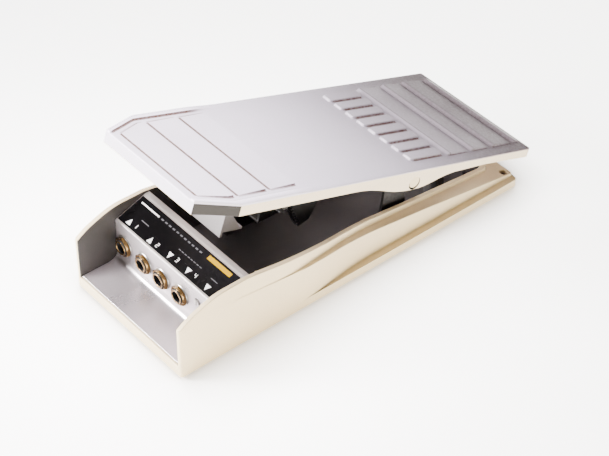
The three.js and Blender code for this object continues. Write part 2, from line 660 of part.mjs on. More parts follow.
// Half of the bars' width at a distance from the treadle's toe edge.
const barHalf = (distance) => Math.min(BAR_HALF_WIDTH,
  BAR_HALF_AT_TOE + (distance - BARS[0][0] + 1) * (BAR_HALF_WIDTH - BAR_HALF_AT_TOE) / BAR_WIDENS);

function toeBars() {
  const sunk = TREADLE_TOP - 1;
  return BARS.map(([front, back]) => {
    const side = shapeOf([
      [fromToe(front), sunk], [fromToe(back), sunk],
      [fromToe(back), TREADLE_TOP + BAR_HIGH], [fromToe(front), TREADLE_TOP + BAR_LOW],
    ]);
    const full = front + BAR_WIDENS;
    const plan = shapeOf([
      [-barHalf(front), fromToe(front)], [barHalf(front), fromToe(front)], [barHalf(full), fromToe(full)],
      [barHalf(back), fromToe(back)], [-barHalf(back), fromToe(back)], [-barHalf(full), fromToe(full)],
    ]);
    const profile = sideSolid(side, -BAR_HALF_WIDTH, BAR_HALF_WIDTH);
    return profile.intersect(planSolid(plan, sunk, TREADLE_TOP + 2));
  });
}

// A low lip along the cut corners and the sides of the toe end, which dies away behind the bars.
const LIP_OUT = 4.3;           // from the bars' ends to the lip
const LIP_RISE = 0.8;
const LIP_FADES = [60, 84];

function toeLip() {
  const sunk = TREADLE_TOP - 0.5;
  const [full, gone] = LIP_FADES;
  const side = shapeOf([
    [fromToe(0), sunk], [fromToe(gone), sunk], [fromToe(gone), TREADLE_TOP],
    [fromToe(full), TREADLE_TOP + LIP_RISE], [fromToe(0), TREADLE_TOP + LIP_RISE],
  ]);
  const wide = BARS[0][0] - 1 + BAR_WIDENS;
  const half = [-3, wide, gone + 1].map((distance) => [barHalf(distance) + LIP_OUT, fromToe(distance)]);
  const inside = shapeOf([...half, ...half.map(([x, y]) => [-x, y]).reverse()]);
  const plan = planSolid(treadlePlan(0), sunk, TREADLE_TOP + LIP_RISE);
  const raised = plan.intersect(sideSolid(side, -60, 60));
  return cut(raised, planSolid(inside, sunk - 1, TREADLE_TOP + 2));
}

// Grip ramps across the heel end: a short steep rise that faces the toe, then a long fall.
const RAMPS = [186.6, 206.8, 224.4, 243.7];
const RAMP_HALF_WIDTH = 39.4;
const RAMP_RISE = 1.4;
const RAMP_RUN = 2.5;

function heelRamps() {
  return RAMPS.map((front, index) => {
    const back = index + 1 < RAMPS.length ? RAMPS[index + 1] - 0.4 : front + 5.6;
    const side = new THREE.Shape();
    side.moveTo(fromToe(front), TREADLE_TOP - 1);
    side.lineTo(fromToe(back), TREADLE_TOP - 1);
    side.lineTo(fromToe(back), TREADLE_TOP + 0.05);
    side.lineTo(fromToe(front + RAMP_RUN + 1.2), TREADLE_TOP + RAMP_RISE - 0.08);
    side.quadraticCurveTo(fromToe(front + RAMP_RUN), TREADLE_TOP + RAMP_RISE + 0.05,
      fromToe(front + RAMP_RUN - 0.9), TREADLE_TOP + RAMP_RISE - 0.35);
    side.lineTo(fromToe(front), TREADLE_TOP);
    return sideSolid(side, -RAMP_HALF_WIDTH, RAMP_HALF_WIDTH, 5);
  });
}

// A row of plain raised pads between the smooth middle and the heel ramps.
const PAD_COUNT = 8;
const PAD_ROW = [158, 184.5];
const PAD_RISE = 1.3;

function gripPads() {
  const pitch = 2 * RAMP_HALF_WIDTH / PAD_COUNT;
  const pads = [];
  for (let index = 0; index < PAD_COUNT; index += 1) {
    const centre = -RAMP_HALF_WIDTH + pitch * (index + 0.5);
    const half = pitch / 2 - 1.5;
    const plan = new THREE.Shape();
    const [front, back] = PAD_ROW.map(fromToe);
    const soft = 1.4;
    plan.moveTo(centre - half + soft, front);
    plan.lineTo(centre + half - soft, front);
    plan.quadraticCurveTo(centre + half, front, centre + half, front + soft);
    plan.lineTo(centre + half, back - soft);
    plan.quadraticCurveTo(centre + half, back, centre + half - soft, back);
    plan.lineTo(centre - half + soft, back);
    plan.quadraticCurveTo(centre - half, back, centre - half, back - soft);
    plan.lineTo(centre - half, front + soft);
    plan.quadraticCurveTo(centre - half, front, centre - half + soft, front);
    pads.push(planSolid(plan, TREADLE_TOP - 1, TREADLE_TOP + PAD_RISE, 4));
  }
  return pads;
}

const STOP_SCREWS = [[-7, 60.5], [7, 60.5]];
const BOSS_RADIUS = 5;         // bosses inside the skirts that carry the axle
const BOSS_ENDS = [39, 45.5];  // the two ends of each boss, from the middle
const RIBS = [-118, -80, 26, 60];   // ribs under the plate, as distances behind the axle
const CAP_RADIUS = 3.7;        // round caps over the axle's two ends
const CAP_SEAT = 45.9;         // half of the distance between the seats of the two caps
const ordered = (a, b) => [Math.min(a, b), Math.max(a, b)];

function treadleShell() {
  const whole = planSolid(treadlePlan(0), -20, TREADLE_TOP);
  const outer = whole.intersect(sideSolid(skirtSide(), -60, 60, 10));
  const inner = planSolid(treadlePlan(TREADLE_SHEET), -30, TREADLE_TOP - TREADLE_SHEET);
  const axleBosses = [-1, 1].map((side) =>
    rod(BOSS_RADIUS, ...ordered(side * BOSS_ENDS[0], side * BOSS_ENDS[1]), 'x', [0, 0, 0], 20));
  const ribs = RIBS.map((u) =>
    boxSolid(-45.2, 45.2, u - 0.9, u + 0.9, TREADLE_TOP - 5.6, TREADLE_TOP - TREADLE_SHEET + 0.2));
  const bossLids = [-1, 1].map((side) =>
    boxSolid(...ordered(side * BOSS_ENDS[0], side * BOSS_ENDS[1]),
      -BOSS_RADIUS, BOSS_RADIUS, 0, TREADLE_TOP - 2));
  const axleHole = rod(AXLE_RADIUS + 0.1, -60, 60, 'x', [0, 0, 0], 20);
  const capSeats = [-1, 1].map((side) =>
    rod(CAP_RADIUS + 0.3, ...ordered(side * CAP_SEAT, side * 60), 'x', [0, 0, 0], 24));
  const shell = join(cut(outer, inner), ...ribs, ...axleBosses, ...bossLids);
  const topped = join(shell, ...heelRamps(), ...gripPads(), ...toeBars(), toeLip());
  return cut(topped, axleHole, ...capSeats);
}

// The bracket that lands on the toe stop pad.
const STOP_SHEET = 1.6;
const STOP_FRONT = 52.4;       // distance of its front from the treadle's toe edge
const STOP_LIP = 46.6;         // depth of its lowest edge below the treadle's top face
const STOP_SOLE = 42;          // depth of its foot below the treadle's top face

function stopBracket() {
  const top = TREADLE_TOP - TREADLE_SHEET - 0.3;
  const sheet = STOP_SHEET;
  const front = fromToe(STOP_FRONT);
  const lip = TREADLE_TOP - STOP_LIP;
  const sole = TREADLE_TOP - STOP_SOLE;
  const web = boxSolid(-12, 12, front, front + sheet, lip, top);
  const foot = boxSolid(-12, 12, front, fromToe(67.8), sole - sheet, sole);
  const flange = boxSolid(-12, 12, front, fromToe(67), top - sheet, top);
  const gusset = shapeOf([
    [front, top], [fromToe(60), top], [fromToe(60), top - 8], [fromToe(56.5), -24],
    [fromToe(66), sole], [front, sole - 1],
  ]);
  const cheeks = [[-12, -10.6], [10.6, 12]].map(([x0, x1]) => sideSolid(gusset, x0, x1));
  const holes = STOP_SCREWS.map(([x, u]) =>
    rod(CLEARANCE, top - 4, top + 1, 'z', [x, fromToe(u), 0], ROD_STEPS));
  return cut(join(web, foot, flange, ...cheeks), ...holes);
}

function addTreadle() {
  const tilt = new THREE.Group();
  tilt.position.set(0, along(PIVOT_Y), up(PIVOT_Z));
  tilt.rotation.x = degrees(-REST_TILT);
  pedal.add(tilt);
  addPart('treadle', treadleShell(), FINISH.silverPaint(), tilt);
  addPart('pivot_axle', rod(AXLE_RADIUS, -45.6, 45.6, 'x', [0, 0, 0], 20), FINISH.brightSteel(), tilt);
  for (const [place, side] of [['right', 1], ['left', -1]]) {
    const capEnds = ordered(side * (CAP_SEAT + 0.05), side * (HALF_WIDTH - 0.1));
    const cap = rod(CAP_RADIUS, ...capEnds, 'x', [0, 0, 0], 24);
    const clip = ring(AXLE_RADIUS + 0.05, 4.6, ...ordered(side * 27.3, side * 28.2), 'x', [0, 0, 0], 20);
    addPart(`pivot_cap_${place}`, cap, FINISH.creamPaint(), tilt);
    addPart(`axle_clip_${place}`, clip, FINISH.brightSteel(), tilt);
  }
  addPart('sector_gear', sectorGear(), FINISH.blackPlastic(), tilt);
  addPart('toe_stop_bracket', stopBracket(), FINISH.panelPaint(), tilt);
  const sectorSeat = TREADLE_TOP - TREADLE_SHEET - 3.35;
  const stopSeat = TREADLE_TOP - TREADLE_SHEET - 1.95;
  SECTOR_SCREWS.forEach(([x, u], index) => {
    addScrew(`sector_screw_${index + 1}`, [2.8, 1.4, 3], [x, u, sectorSeat], [Math.PI, 0, 0], tilt);
  });
  STOP_SCREWS.forEach(([x, u], index) => {
    addScrew(`stop_bracket_screw_${index + 1}`, [2.8, 1.4, 1.7], [x, fromToe(u), stopSeat],
      [Math.PI, 0, 0], tilt);
  });
}

// ---------------------------------------------------------------- stops, feet and outer screws
const TOE_DOWN_TILT = 2;       // degrees of toe-up tilt that is left when the toe is fully down

// Height above the base's underside of a point of the treadle, at a given tilt.
function heightAtTilt(u, h, tilt) {
  return PIVOT_Z - u * Math.sin(degrees(tilt)) + h * Math.cos(degrees(tilt));
}

function distanceAtTilt(u, h, tilt) {
  return PIVOT_Y + u * Math.cos(degrees(tilt)) + h * Math.sin(degrees(tilt));
}

function addStops() {
  const lip = [fromToe(STOP_FRONT), TREADLE_TOP - STOP_LIP];
  const landing = distanceAtTilt(...lip, TOE_DOWN_TILT);
  const contact = heightAtTilt(...lip, TOE_DOWN_TILT) - 0.4;
  const pad = cut(
    boxSolid(-16, 16, along(landing - 5), along(landing + 9), up(PLATE), up(contact)),
    boxSolid(-11, 11, along(landing - 1), along(landing + 5), up(-1), up(contact - 4)));
  addPart('toe_stop_pad', pad, FINISH.rubber());
  const under = TREADLE_TOP - TREADLE_SHEET;
  STOP_POSTS.forEach(([x, y], index) => {
    const u = (y - PIVOT_Y - under * Math.sin(degrees(REST_TILT))) / Math.cos(degrees(REST_TILT));
    const top = heightAtTilt(u, under, REST_TILT) - 0.4;
    const radius = 5.2;
    const edge = top - radius * 0.36;
    const profile = [
      [0, up(STOP_POST_TOP)], [radius, up(STOP_POST_TOP)], [radius, up(edge - 1.8)],
      [radius * 0.8, up(edge - 0.4)], [radius * 0.4, up(top - 0.7)], [0, up(top - 0.4)],
    ];
    addPart(`heel_stop_pad_${index === 0 ? 'right' : 'left'}`, turned(profile, 'z', [x, along(y), 0], 12),
      FINISH.rubber());
  });
}

function addFeetAndScrews() {
  const places = ['toe_left', 'toe_right', 'heel_left', 'heel_right'];
  FEET.forEach(([x, y], index) => {
    const profile = [[0, 0], [5.6, 0], [6.5, 0.6], [6.5, FOOT_HEIGHT], [0, FOOT_HEIGHT]];
    addPart(`foot_${places[index]}`, turned(profile, 'z', [x, along(y), 0], 12), FINISH.rubber());
  });
  BOSSES.forEach(([x, y], index) => {
    addScrew(`plate_screw_${index + 1}`, [2.4, 1.4, 8], [x, along(y), up(-0.02)], [Math.PI, 0, 0]);
  });
  LEDGE_SCREWS.forEach(([x, y], index) => {
    addScrew(`heel_screw_${index + 1}`, [1.9, 0.9, 0.4], [x, along(y), up(4.45)], [0, 0, 0],
      pedal, FINISH.darkSteel());
  });
}

// ---------------------------------------------------------------- assembly
addPart('base_shell', baseShell(), FINISH.creamPaint());
addPart('bottom_plate', bottomPlate(), FINISH.darkSteel());
addPart('jack_panel', jackPanel(), FINISH.panelPaint());
addLabel();
addPart('circuit_board', circuitBoard(), FINISH.board());
addJacks();
addTrimmer();
addPivot();
addPotentiometer();
addTreadle();
addStops();
addFeetAndScrews();

export default pedal;
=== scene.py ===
"""Looks of the volume pedal: finished surfaces, printed label, plated sockets, studio light and camera."""
import json
import math

import bmesh
import bpy
from mathutils import Matrix, Vector


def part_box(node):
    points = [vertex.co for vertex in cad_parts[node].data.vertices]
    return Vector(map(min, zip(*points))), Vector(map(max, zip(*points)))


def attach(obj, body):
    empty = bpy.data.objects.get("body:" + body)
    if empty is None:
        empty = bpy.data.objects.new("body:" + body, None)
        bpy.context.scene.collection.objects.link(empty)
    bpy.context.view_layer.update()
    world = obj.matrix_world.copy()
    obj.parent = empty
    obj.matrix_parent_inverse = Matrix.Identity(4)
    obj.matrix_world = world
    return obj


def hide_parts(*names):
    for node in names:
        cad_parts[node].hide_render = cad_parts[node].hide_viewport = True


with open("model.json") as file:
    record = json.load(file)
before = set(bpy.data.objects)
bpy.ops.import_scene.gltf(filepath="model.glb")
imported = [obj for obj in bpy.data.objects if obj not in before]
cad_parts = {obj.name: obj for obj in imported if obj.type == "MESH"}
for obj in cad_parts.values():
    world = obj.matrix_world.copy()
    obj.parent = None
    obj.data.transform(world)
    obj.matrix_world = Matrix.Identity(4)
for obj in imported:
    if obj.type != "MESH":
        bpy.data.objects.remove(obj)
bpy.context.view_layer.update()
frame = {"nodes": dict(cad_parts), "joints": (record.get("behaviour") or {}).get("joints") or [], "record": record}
RECORD = frame["record"]
BODY_OF = {node: body for body, nodes in RECORD["behaviour"]["bodies"].items() for node in nodes}
SLOT_OF = {part["node"]: part["material_slot"] for part in RECORD["subparts"]}
TILT = next(joint for joint in frame["joints"] if joint["name"] == "treadle_tilt")
MM = 0.001
SHADE_SAMPLES = 6  # rays of each ambient occlusion node


# ---------------------------------------------------------------- node helpers
def blank_material(name, color, metallic, roughness):
    material = bpy.data.materials.new(f"{name}_finish")
    material.use_nodes = True
    material.diffuse_color = (*color, 1)
    shader = material.node_tree.nodes["Principled BSDF"]
    shader.inputs["Base Color"].default_value = (*color, 1)
    shader.inputs["Metallic"].default_value = metallic
    shader.inputs["Roughness"].default_value = roughness
    return material, shader


def put(material, kind, inputs=None, **settings):
    """Adds a node; an input may be a number, a colour or another node's output."""
    made = material.node_tree.nodes.new(kind)
    for key, value in settings.items():
        setattr(made, key, value)
    for key, value in (inputs or {}).items():
        if isinstance(value, bpy.types.NodeSocket):
            material.node_tree.links.new(value, made.inputs[key])
        else:
            made.inputs[key].default_value = value
    return made


def link(material, output, target):
    material.node_tree.links.new(output, target)


def object_space(material, stretch=(1, 1, 1)):
    coordinates = put(material, "ShaderNodeTexCoord").outputs["Object"]
    return put(material, "ShaderNodeMapping", {"Vector": coordinates, "Scale": stretch}).outputs["Vector"]


def noise(material, vector, scale, detail=3.0, rough=0.55):
    inputs = {"Vector": vector, "Scale": scale, "Detail": detail, "Roughness": rough}
    return put(material, "ShaderNodeTexNoise", inputs).outputs["Fac"]


def spread(material, value, low, high, to_low=0.0, to_high=1.0):
    inputs = {"Value": value, "From Min": low, "From Max": high, "To Min": to_low, "To Max": to_high}
    return put(material, "ShaderNodeMapRange", inputs).outputs["Result"]


def arithmetic(material, operation, a, b):
    return put(material, "ShaderNodeMath", {0: a, 1: b}, operation=operation).outputs["Value"]


def blended(material, factor, a, b, blend="MIX"):
    made = material.node_tree.nodes.new("ShaderNodeMix")
    made.data_type = "RGBA"
    made.blend_type = blend
    for index, value in ((0, factor), (6, a), (7, b)):
        if isinstance(value, bpy.types.NodeSocket):
            link(material, value, made.inputs[index])
        elif index == 0:
            made.inputs[index].default_value = value
        else:
            made.inputs[index].default_value = (*value[:3], 1)
    return made.outputs[2]


def bumped(material, shader, height, strength, distance):
    bump = put(material, "ShaderNodeBump", {"Height": height, "Strength": strength, "Distance": distance})
    link(material, bump.outputs["Normal"], shader.inputs["Normal"])


def edges(material, reach):
    """1 on convex edges, 0 on flats: how much of the material's inside is shadowed close by."""
    occlusion = put(material, "ShaderNodeAmbientOcclusion", {"Distance": reach},
                    inside=True, only_local=True, samples=SHADE_SAMPLES)
    return spread(material, occlusion.outputs["AO"], 0.93, 0.55)


def corners(material, reach):
    """1 deep in concave corners, 0 on open faces."""
    occlusion = put(material, "ShaderNodeAmbientOcclusion", {"Distance": reach},
                    only_local=True, samples=SHADE_SAMPLES)
    return spread(material, occlusion.outputs["AO"], 0.85, 0.35)


# ---------------------------------------------------------------- finishes
# Each of the mesh's own marks: its colour as a share of the paint's, and its least and greatest cover.
# The first mark, lighter, is painted highlight; the second, brown, is painted shade and painted shadow lines.
MARKS = {"painted_highlight_mark": ((1.3, 1.3, 1.3), 0.45, 1.0), "painted_shade_mark": ((0.17, 0.095, 0.06), 0.7, 1.0)}


def marked(material, space, color, base):
    """Painted highlights and painted shade where the mesh's own values for them say, broken up by noise."""
    breakup = noise(material, space, 700.0, 4.0, 0.7)
    for name, (tones, low, high) in MARKS.items():
        amount = put(material, "ShaderNodeAttribute", attribute_name=name).outputs["Fac"]
        share = arithmetic(material, "MULTIPLY", amount, spread(material, breakup, 0.3, 0.6, low, high))
        mark = [min(1.0, channel * tone) for channel, tone in zip(color, tones)]
        base = blended(material, share, base, mark)
    return base


FLAKE = 0.08  # how much lighter or darker one flake of metallic paint is
COAT, SPECULAR = 0.12, 0.5  # clear coat and surface reflection of a paint at full sheen


def paint(name, color, metallic, roughness, wear=0.5, dust_and_shade=0.25, marks=False, sheen=1.0):
    """Sprayed metallic paint: fine flake, faint orange peel, rubbed edges, dust and painted shade in the corners.
    A sheen below 1 makes the clear coat and the surface reflection weaker."""
    material, shader = blank_material(name, color, metallic, roughness)
    space = object_space(material)
    cells = put(material, "ShaderNodeTexVoronoi", {"Vector": space, "Scale": 4200.0}, feature="F1")
    flakes = spread(material, cells.outputs["Color"], 0.0, 1.0, 1.0 - FLAKE, 1.0 + FLAKE)
    clouds = spread(material, noise(material, space, 26.0, 4.0), 0.3, 0.7, 0.965, 1.03)
    tone = arithmetic(material, "MULTIPLY", flakes, clouds)
    toned = blended(material, 1.0, color, tone, "MULTIPLY")
    rub = arithmetic(material, "MULTIPLY", edges(material, 0.9 * MM),
                     spread(material, noise(material, space, 160.0, 5.0, 0.65), 0.5, 0.68, 0.0, wear))
    # Dust and painted shade: darker in concave corners, found by ambient occlusion.
    corner_dust_and_shade = arithmetic(material, "MULTIPLY", corners(material, 3 * MM),
                      spread(material, noise(material, space, 240.0, 4.0), 0.3, 0.7, 0.3, 1.0))
    grey = sum(color) / 3
    dusted_and_shaded = blended(material, arithmetic(material, "MULTIPLY", corner_dust_and_shade, dust_and_shade), toned,
                    [channel * 0.1 + grey * 0.3 for channel in color])
    worn = blended(material, rub, dusted_and_shaded, [min(1.0, channel * 1.12 + 0.03) for channel in color])
    if marks:
        worn = marked(material, space, color, worn)
    link(material, worn, shader.inputs["Base Color"])
    smears = noise(material, object_space(material, (1, 0.35, 1)), 45.0, 5.0, 0.6)
    gloss = spread(material, smears, 0.3, 0.72, roughness - 0.06, roughness + 0.1)
    link(material, arithmetic(material, "ADD", gloss, arithmetic(material, "MULTIPLY", corner_dust_and_shade, 0.12)),
         shader.inputs["Roughness"])
    peel = noise(material, space, 900.0, 2.0, 0.4)
    bumped(material, shader, peel, 0.12, 0.05 * MM)
    shader.inputs["Coat Weight"].default_value = COAT * sheen
    shader.inputs["Specular IOR Level"].default_value = SPECULAR * sheen
    shader.inputs["Coat Roughness"].default_value = 0.22
    return material


def plated(name, color, roughness, tarnish, brush=0.0, dark=0.55):
    """Plated or polished metal with fine brushing, random stains, painted shade deep in concave corners and bright
    rubbed edges.
    """
    material, shader = blank_material(name, color, 1.0, roughness)
    space = object_space(material)
    stains = spread(material, noise(material, space, 420.0, 6.0, 0.62), 0.42, 0.72, 0.0, tarnish)
    # Painted shade: darker deep in concave corners, found by ambient occlusion.
    corner_shade = arithmetic(material, "MULTIPLY", corners(material, 1.2 * MM), 0.6)
    stains_and_shade = arithmetic(material, "MAXIMUM", stains, corner_shade)
    base = blended(material, stains_and_shade, color, [channel * dark for channel in color])
    bright = blended(material, arithmetic(material, "MULTIPLY", edges(material, 0.35 * MM), 0.5), base,
                     [min(1.0, channel * 1.15) for channel in color])
    link(material, bright, shader.inputs["Base Color"])
    grain = noise(material, object_space(material, (1, 1, 0.04)), 3800.0, 3.0)
    brushed = spread(material, grain, 0.3, 0.7, roughness, roughness + 0.08 + brush)
    dull = arithmetic(material, "MULTIPLY", stains_and_shade, 0.25)
    link(material, arithmetic(material, "ADD", brushed, dull), shader.inputs["Roughness"])
    bumped(material, shader, grain, 0.06 + brush, 0.02 * MM)
    return material


def moulded(name, color, roughness, grain_scale=1500.0, strength=0.12, rub=0.25, sheen=0.0):
    """Moulded plastic or rubber: fine pebble, dull patches and lighter rubbed edges."""
    material, shader = blank_material(name, color, 0.0, roughness)
    space = object_space(material)
    patches = spread(material, noise(material, space, 70.0, 5.0), 0.3, 0.7, 0.8, 1.25)
    base = blended(material, 1.0, color, patches, "MULTIPLY")
    worn = blended(material, arithmetic(material, "MULTIPLY", edges(material, 0.6 * MM), rub), base,
                   [min(1.0, channel * 1.5 + 0.05) for channel in color])
    link(material, worn, shader.inputs["Base Color"])
    smears = noise(material, space, 180.0, 4.0)
    gloss = spread(material, smears, 0.3, 0.7, roughness - 0.06, roughness + 0.1)
    link(material, gloss, shader.inputs["Roughness"])
    bumped(material, shader, noise(material, space, grain_scale, 2.0), strength, 0.06 * MM)
    shader.inputs["Sheen Weight"].default_value = sheen
    return material


def printed_film(name, color):
    """Black printed film: a little gloss, fine dust specks and hairline scratches along its length."""
    material, shader = blank_material(name, color, 0.0, 0.26)
    shader.inputs["Specular IOR Level"].default_value = 0.05
    space = object_space(material)
    specks = spread(material, noise(material, space, 2600.0, 2.0, 0.7), 0.74, 0.82, 0.0, 0.3)
    scratches = noise(material, object_space(material, (0.05, 1, 1)), 1600.0, 3.0)
    hairs = spread(material, scratches, 0.70, 0.80, 0.0, 0.25)
    marks = arithmetic(material, "MAXIMUM", specks, hairs)
    link(material, blended(material, marks, color, (0.07, 0.067, 0.07)), shader.inputs["Base Color"])
    gloss = spread(material, noise(material, space, 60.0, 4.0), 0.3, 0.7, 0.2, 0.3)
    link(material, arithmetic(material, "ADD", gloss, arithmetic(material, "MULTIPLY", marks, 0.3)),
         shader.inputs["Roughness"])
    bumped(material, shader, noise(material, space, 700.0, 2.0), 0.05, 0.03 * MM)
    return material


def ink(name, color):
    """Screen-printed ink: slightly uneven cover, matt."""
    material, shader = blank_material(name, color, 0.0, 0.5)
    shader.inputs["Specular IOR Level"].default_value = 0.03
    space = object_space(material)
    cover = spread(material, noise(material, space, 1900.0, 3.0, 0.7), 0.28, 0.5, 0.72, 1.0)
    link(material, blended(material, 1.0, color, cover, "MULTIPLY"), shader.inputs["Base Color"])
    gloss = spread(material, noise(material, space, 900.0), 0.3, 0.7, 0.42, 0.6)
    link(material, gloss, shader.inputs["Roughness"])
    return material


def laminate(name, color):
    """Circuit board: glassy resin with a faint weave."""
    material, shader = blank_material(name, color, 0.0, 0.4)
    threads = {"Vector": object_space(material), "Scale": 420.0, "Distortion": 1.5}
    weave = put(material, "ShaderNodeTexWave", threads, bands_direction="DIAGONAL").outputs["Fac"]
    tone = spread(material, weave, 0.0, 1.0, 0.86, 1.08)
    link(material, blended(material, 1.0, color, tone, "MULTIPLY"), shader.inputs["Base Color"])
    bumped(material, shader, weave, 0.08, 0.03 * MM)
    return material


# The record's material slots, and the further finishes that the pieces' faces take.
FINISH = {
    "cream_paint": paint("cream_paint", (0.72, 0.585, 0.36), 0.15, 0.45, wear=0.45, dust_and_shade=0.75, sheen=0.25),
    "silver_paint": paint("silver_paint", (0.68, 0.62, 0.70), 0.15, 0.42, wear=0.4, marks=True, sheen=0.5),
    # The skirt's sides and the ribs under the treadle: a warmer, creamier copy of the treadle's silver paint,
    # painted warm light from the side.
    "skirt_painted_warm_light": paint("skirt_painted_warm_light", (0.75, 0.62, 0.43), 0.15, 0.45, wear=0.45, sheen=0.25),
    # The treadle's two cut toe corners: near-black paint, painted shade.
    "chamfer_painted_shade": paint("chamfer_painted_shade", (0.032, 0.028, 0.025), 0.2, 0.45, wear=0.35, sheen=0.3),
    "panel_paint": paint("panel_paint", (0.46, 0.415, 0.425), 0.75, 0.3, wear=0.4),
    "bracket_paint": paint("bracket_paint", (0.20, 0.185, 0.185), 0.5, 0.4, wear=0.5, sheen=0.5),
    # The label's slope and the fold top behind it: a darker copy of the panel paint, painted shade under the
    # treadle.
    "ridge_painted_shade": paint("ridge_painted_shade", (0.36, 0.325, 0.30), 0.5, 0.42, wear=0.5),
    # Near black: the well's inward faces and posts, and the seats round the axle's caps, where it is a painted
    # shadow in the gap.
    "dark_inside_and_seat_shadow": paint("dark_inside_and_seat_shadow", (0.030, 0.0275, 0.027), 0.1, 0.55, wear=0.2, dust_and_shade=0.3, sheen=0.4),
    # The cheeks' inner faces beside the jack panel: near black, painted shade.
    "cheek_painted_shade": paint("cheek_painted_shade", (0.042, 0.039, 0.037), 0.3, 0.45, wear=0.3),
    "well_floor": paint("well_floor", (0.046, 0.042, 0.041), 0.1, 0.5, wear=0.2, dust_and_shade=0.4, sheen=0.6),
    "dark_steel": plated("dark_steel", (0.05, 0.047, 0.046), 0.45, 0.5, brush=0.1),
    "bright_steel": plated("bright_steel", (0.62, 0.60, 0.57), 0.24, 0.3, brush=0.03),
    "gold_plating": plated("gold_plating", (0.27, 0.165, 0.065), 0.16, 0.6, dark=0.15),
    "bronze": plated("bronze", (0.50, 0.34, 0.16), 0.38, 0.6, brush=0.06),
    "black_plastic": moulded("black_plastic", (0.011, 0.011, 0.012), 0.42),
    "rubber": moulded("rubber", (0.022, 0.022, 0.022), 0.78, 900.0, 0.25, 0.15, 0.2),
    "label_black": printed_film("label_black", (0.0036, 0.0033, 0.0036)),
    "board": laminate("board", (0.20, 0.13, 0.045)),
    "white_ink": ink("white_ink", (0.90, 0.90, 0.88)),
    "grey_ink": ink("grey_ink", (0.10, 0.10, 0.105)),
    "yellow_ink": ink("yellow_ink", (0.50, 0.29, 0.0)),
}


# ---------------------------------------------------------------- mesh helpers
def add_object(name, data):
    made = bpy.data.objects.new(name, data)
    bpy.context.scene.collection.objects.link(made)
    return made


def add_mesh(name, bm):
    mesh = bpy.data.meshes.new(name)
    bm.to_mesh(mesh)
    bm.free()
    return add_object(name, mesh)


def smooth(mesh, angle):
    """Smooth shading with sharp edges where faces meet at more than an angle in degrees."""
    mesh.shade_smooth()
    mesh.set_sharp_from_angle(angle=math.radians(angle))


def new_piece(name, bm, material, smooth_angle=32):
    piece = add_mesh(name, bm)
    piece.data.materials.append(material)
    smooth(piece.data, smooth_angle)
    return piece


def settle(piece, node):
    """The piece stands for a CAD node and rides on its body; the node itself is hidden."""
    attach(piece, BODY_OF[node])
    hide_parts(node)


def bake_modifiers(piece):
    evaluated = piece.evaluated_get(bpy.context.evaluated_depsgraph_get())
    baked = bpy.data.meshes.new_from_object(evaluated)
    piece.modifiers.clear()
    piece.data = baked


def carve(piece, cutter, use_self=False):
    """Takes the cutter's shape out of a piece."""
    boolean = piece.modifiers.new("cut", "BOOLEAN")
    boolean.object = cutter
    boolean.operation = "DIFFERENCE"
    boolean.solver = "EXACT"
    boolean.use_self = use_self
    bpy.context.view_layer.update()
    bake_modifiers(piece)
    bpy.data.objects.remove(cutter)


def keep_inside(mesh, source):
    """Pulls corners that rounding has pushed past the source's own box back onto the box."""
    reach = [sorted(vertex.co[axis] for vertex in source.vertices) for axis in range(3)]
    for vertex in mesh.vertices:
        vertex.co = [min(max(value, ends[0]), ends[-1]) for value, ends in zip(vertex.co, reach)]


SAME_PLACE = 2e-6  # corners closer than this are one corner
FLAT_ANGLE = math.radians(0.6)  # triangles that meet flatter than this are one face
EDGE_ANGLE = math.radians(30)  # faces that meet more sharply than this get a rounded edge


def refine(node, width, segments, *others, keep_sharp=None):
    """A copy of a CAD node, which it stands for, with coplanar triangles merged and its edges rounded.
    Each of others is (material, test): faces for which test(centre, normal) is true take that material.
    An edge whose middle passes keep_sharp isn't rounded."""
    source = frame["nodes"][node].data
    bm = bmesh.new()
    corners_in = [bm.verts.new(vertex.co) for vertex in source.vertices]
    for polygon in source.polygons:
        try:
            bm.faces.new([corners_in[index] for index in polygon.vertices])
        except ValueError:  # the same face twice
            pass
    bmesh.ops.remove_doubles(bm, verts=bm.verts, dist=SAME_PLACE)
    bmesh.ops.dissolve_degenerate(bm, dist=SAME_PLACE, edges=bm.edges)
    bmesh.ops.dissolve_limit(bm, angle_limit=FLAT_ANGLE, verts=bm.verts, edges=bm.edges)
    bm.normal_update()
    weight = bm.edges.layers.float.new("bevel_weight_edge")
    for edge in bm.edges:
        middle = (edge.verts[0].co + edge.verts[1].co) / 2
        rounded = len(edge.link_faces) == 2 and edge.calc_face_angle(0) > EDGE_ANGLE
        edge[weight] = float(rounded and not (keep_sharp and keep_sharp(middle)))
    for index, (_, test) in enumerate(others):
        for face in bm.faces:
            if test(face.calc_center_median(), face.normal):
                face.material_index = index + 1
    piece = new_piece(f"{node}_finished", bm, FINISH[SLOT_OF[node]])
    for material, _ in others:
        piece.data.materials.append(material)
    bevel = piece.modifiers.new("round", "BEVEL")
    bevel.width = width
    bevel.segments = segments
    bevel.limit_method = "WEIGHT"
    bevel.use_clamp_overlap = False
    bevel.miter_outer = "MITER_ARC"
    bevel.harden_normals = True
    bake_modifiers(piece)
    keep_inside(piece.data, source)
    settle(piece, node)


def lathe(profile, segments):
    """Turned about +Z from (radius, height) pairs."""
    bm = bmesh.new()
    rings = []
    for radius, height in profile:
        if radius < 1e-7:
            rings.append([bm.verts.new((0, 0, height))])
            continue
        steps = [2 * math.pi * index / segments for index in range(segments)]
        rings.append([bm.verts.new((radius * math.cos(a), radius * math.sin(a), height)) for a in steps])
    for low, high in zip(rings, rings[1:]):
        for index in range(segments):
            after = (index + 1) % segments
            loop = [low[index % len(low)], low[after % len(low)],
                    high[after % len(high)], high[index % len(high)]]
            unique = list(dict.fromkeys(loop))
            if len(unique) > 2:
                bm.faces.new(unique)
    bmesh.ops.recalc_face_normals(bm, faces=bm.faces)
    return bm


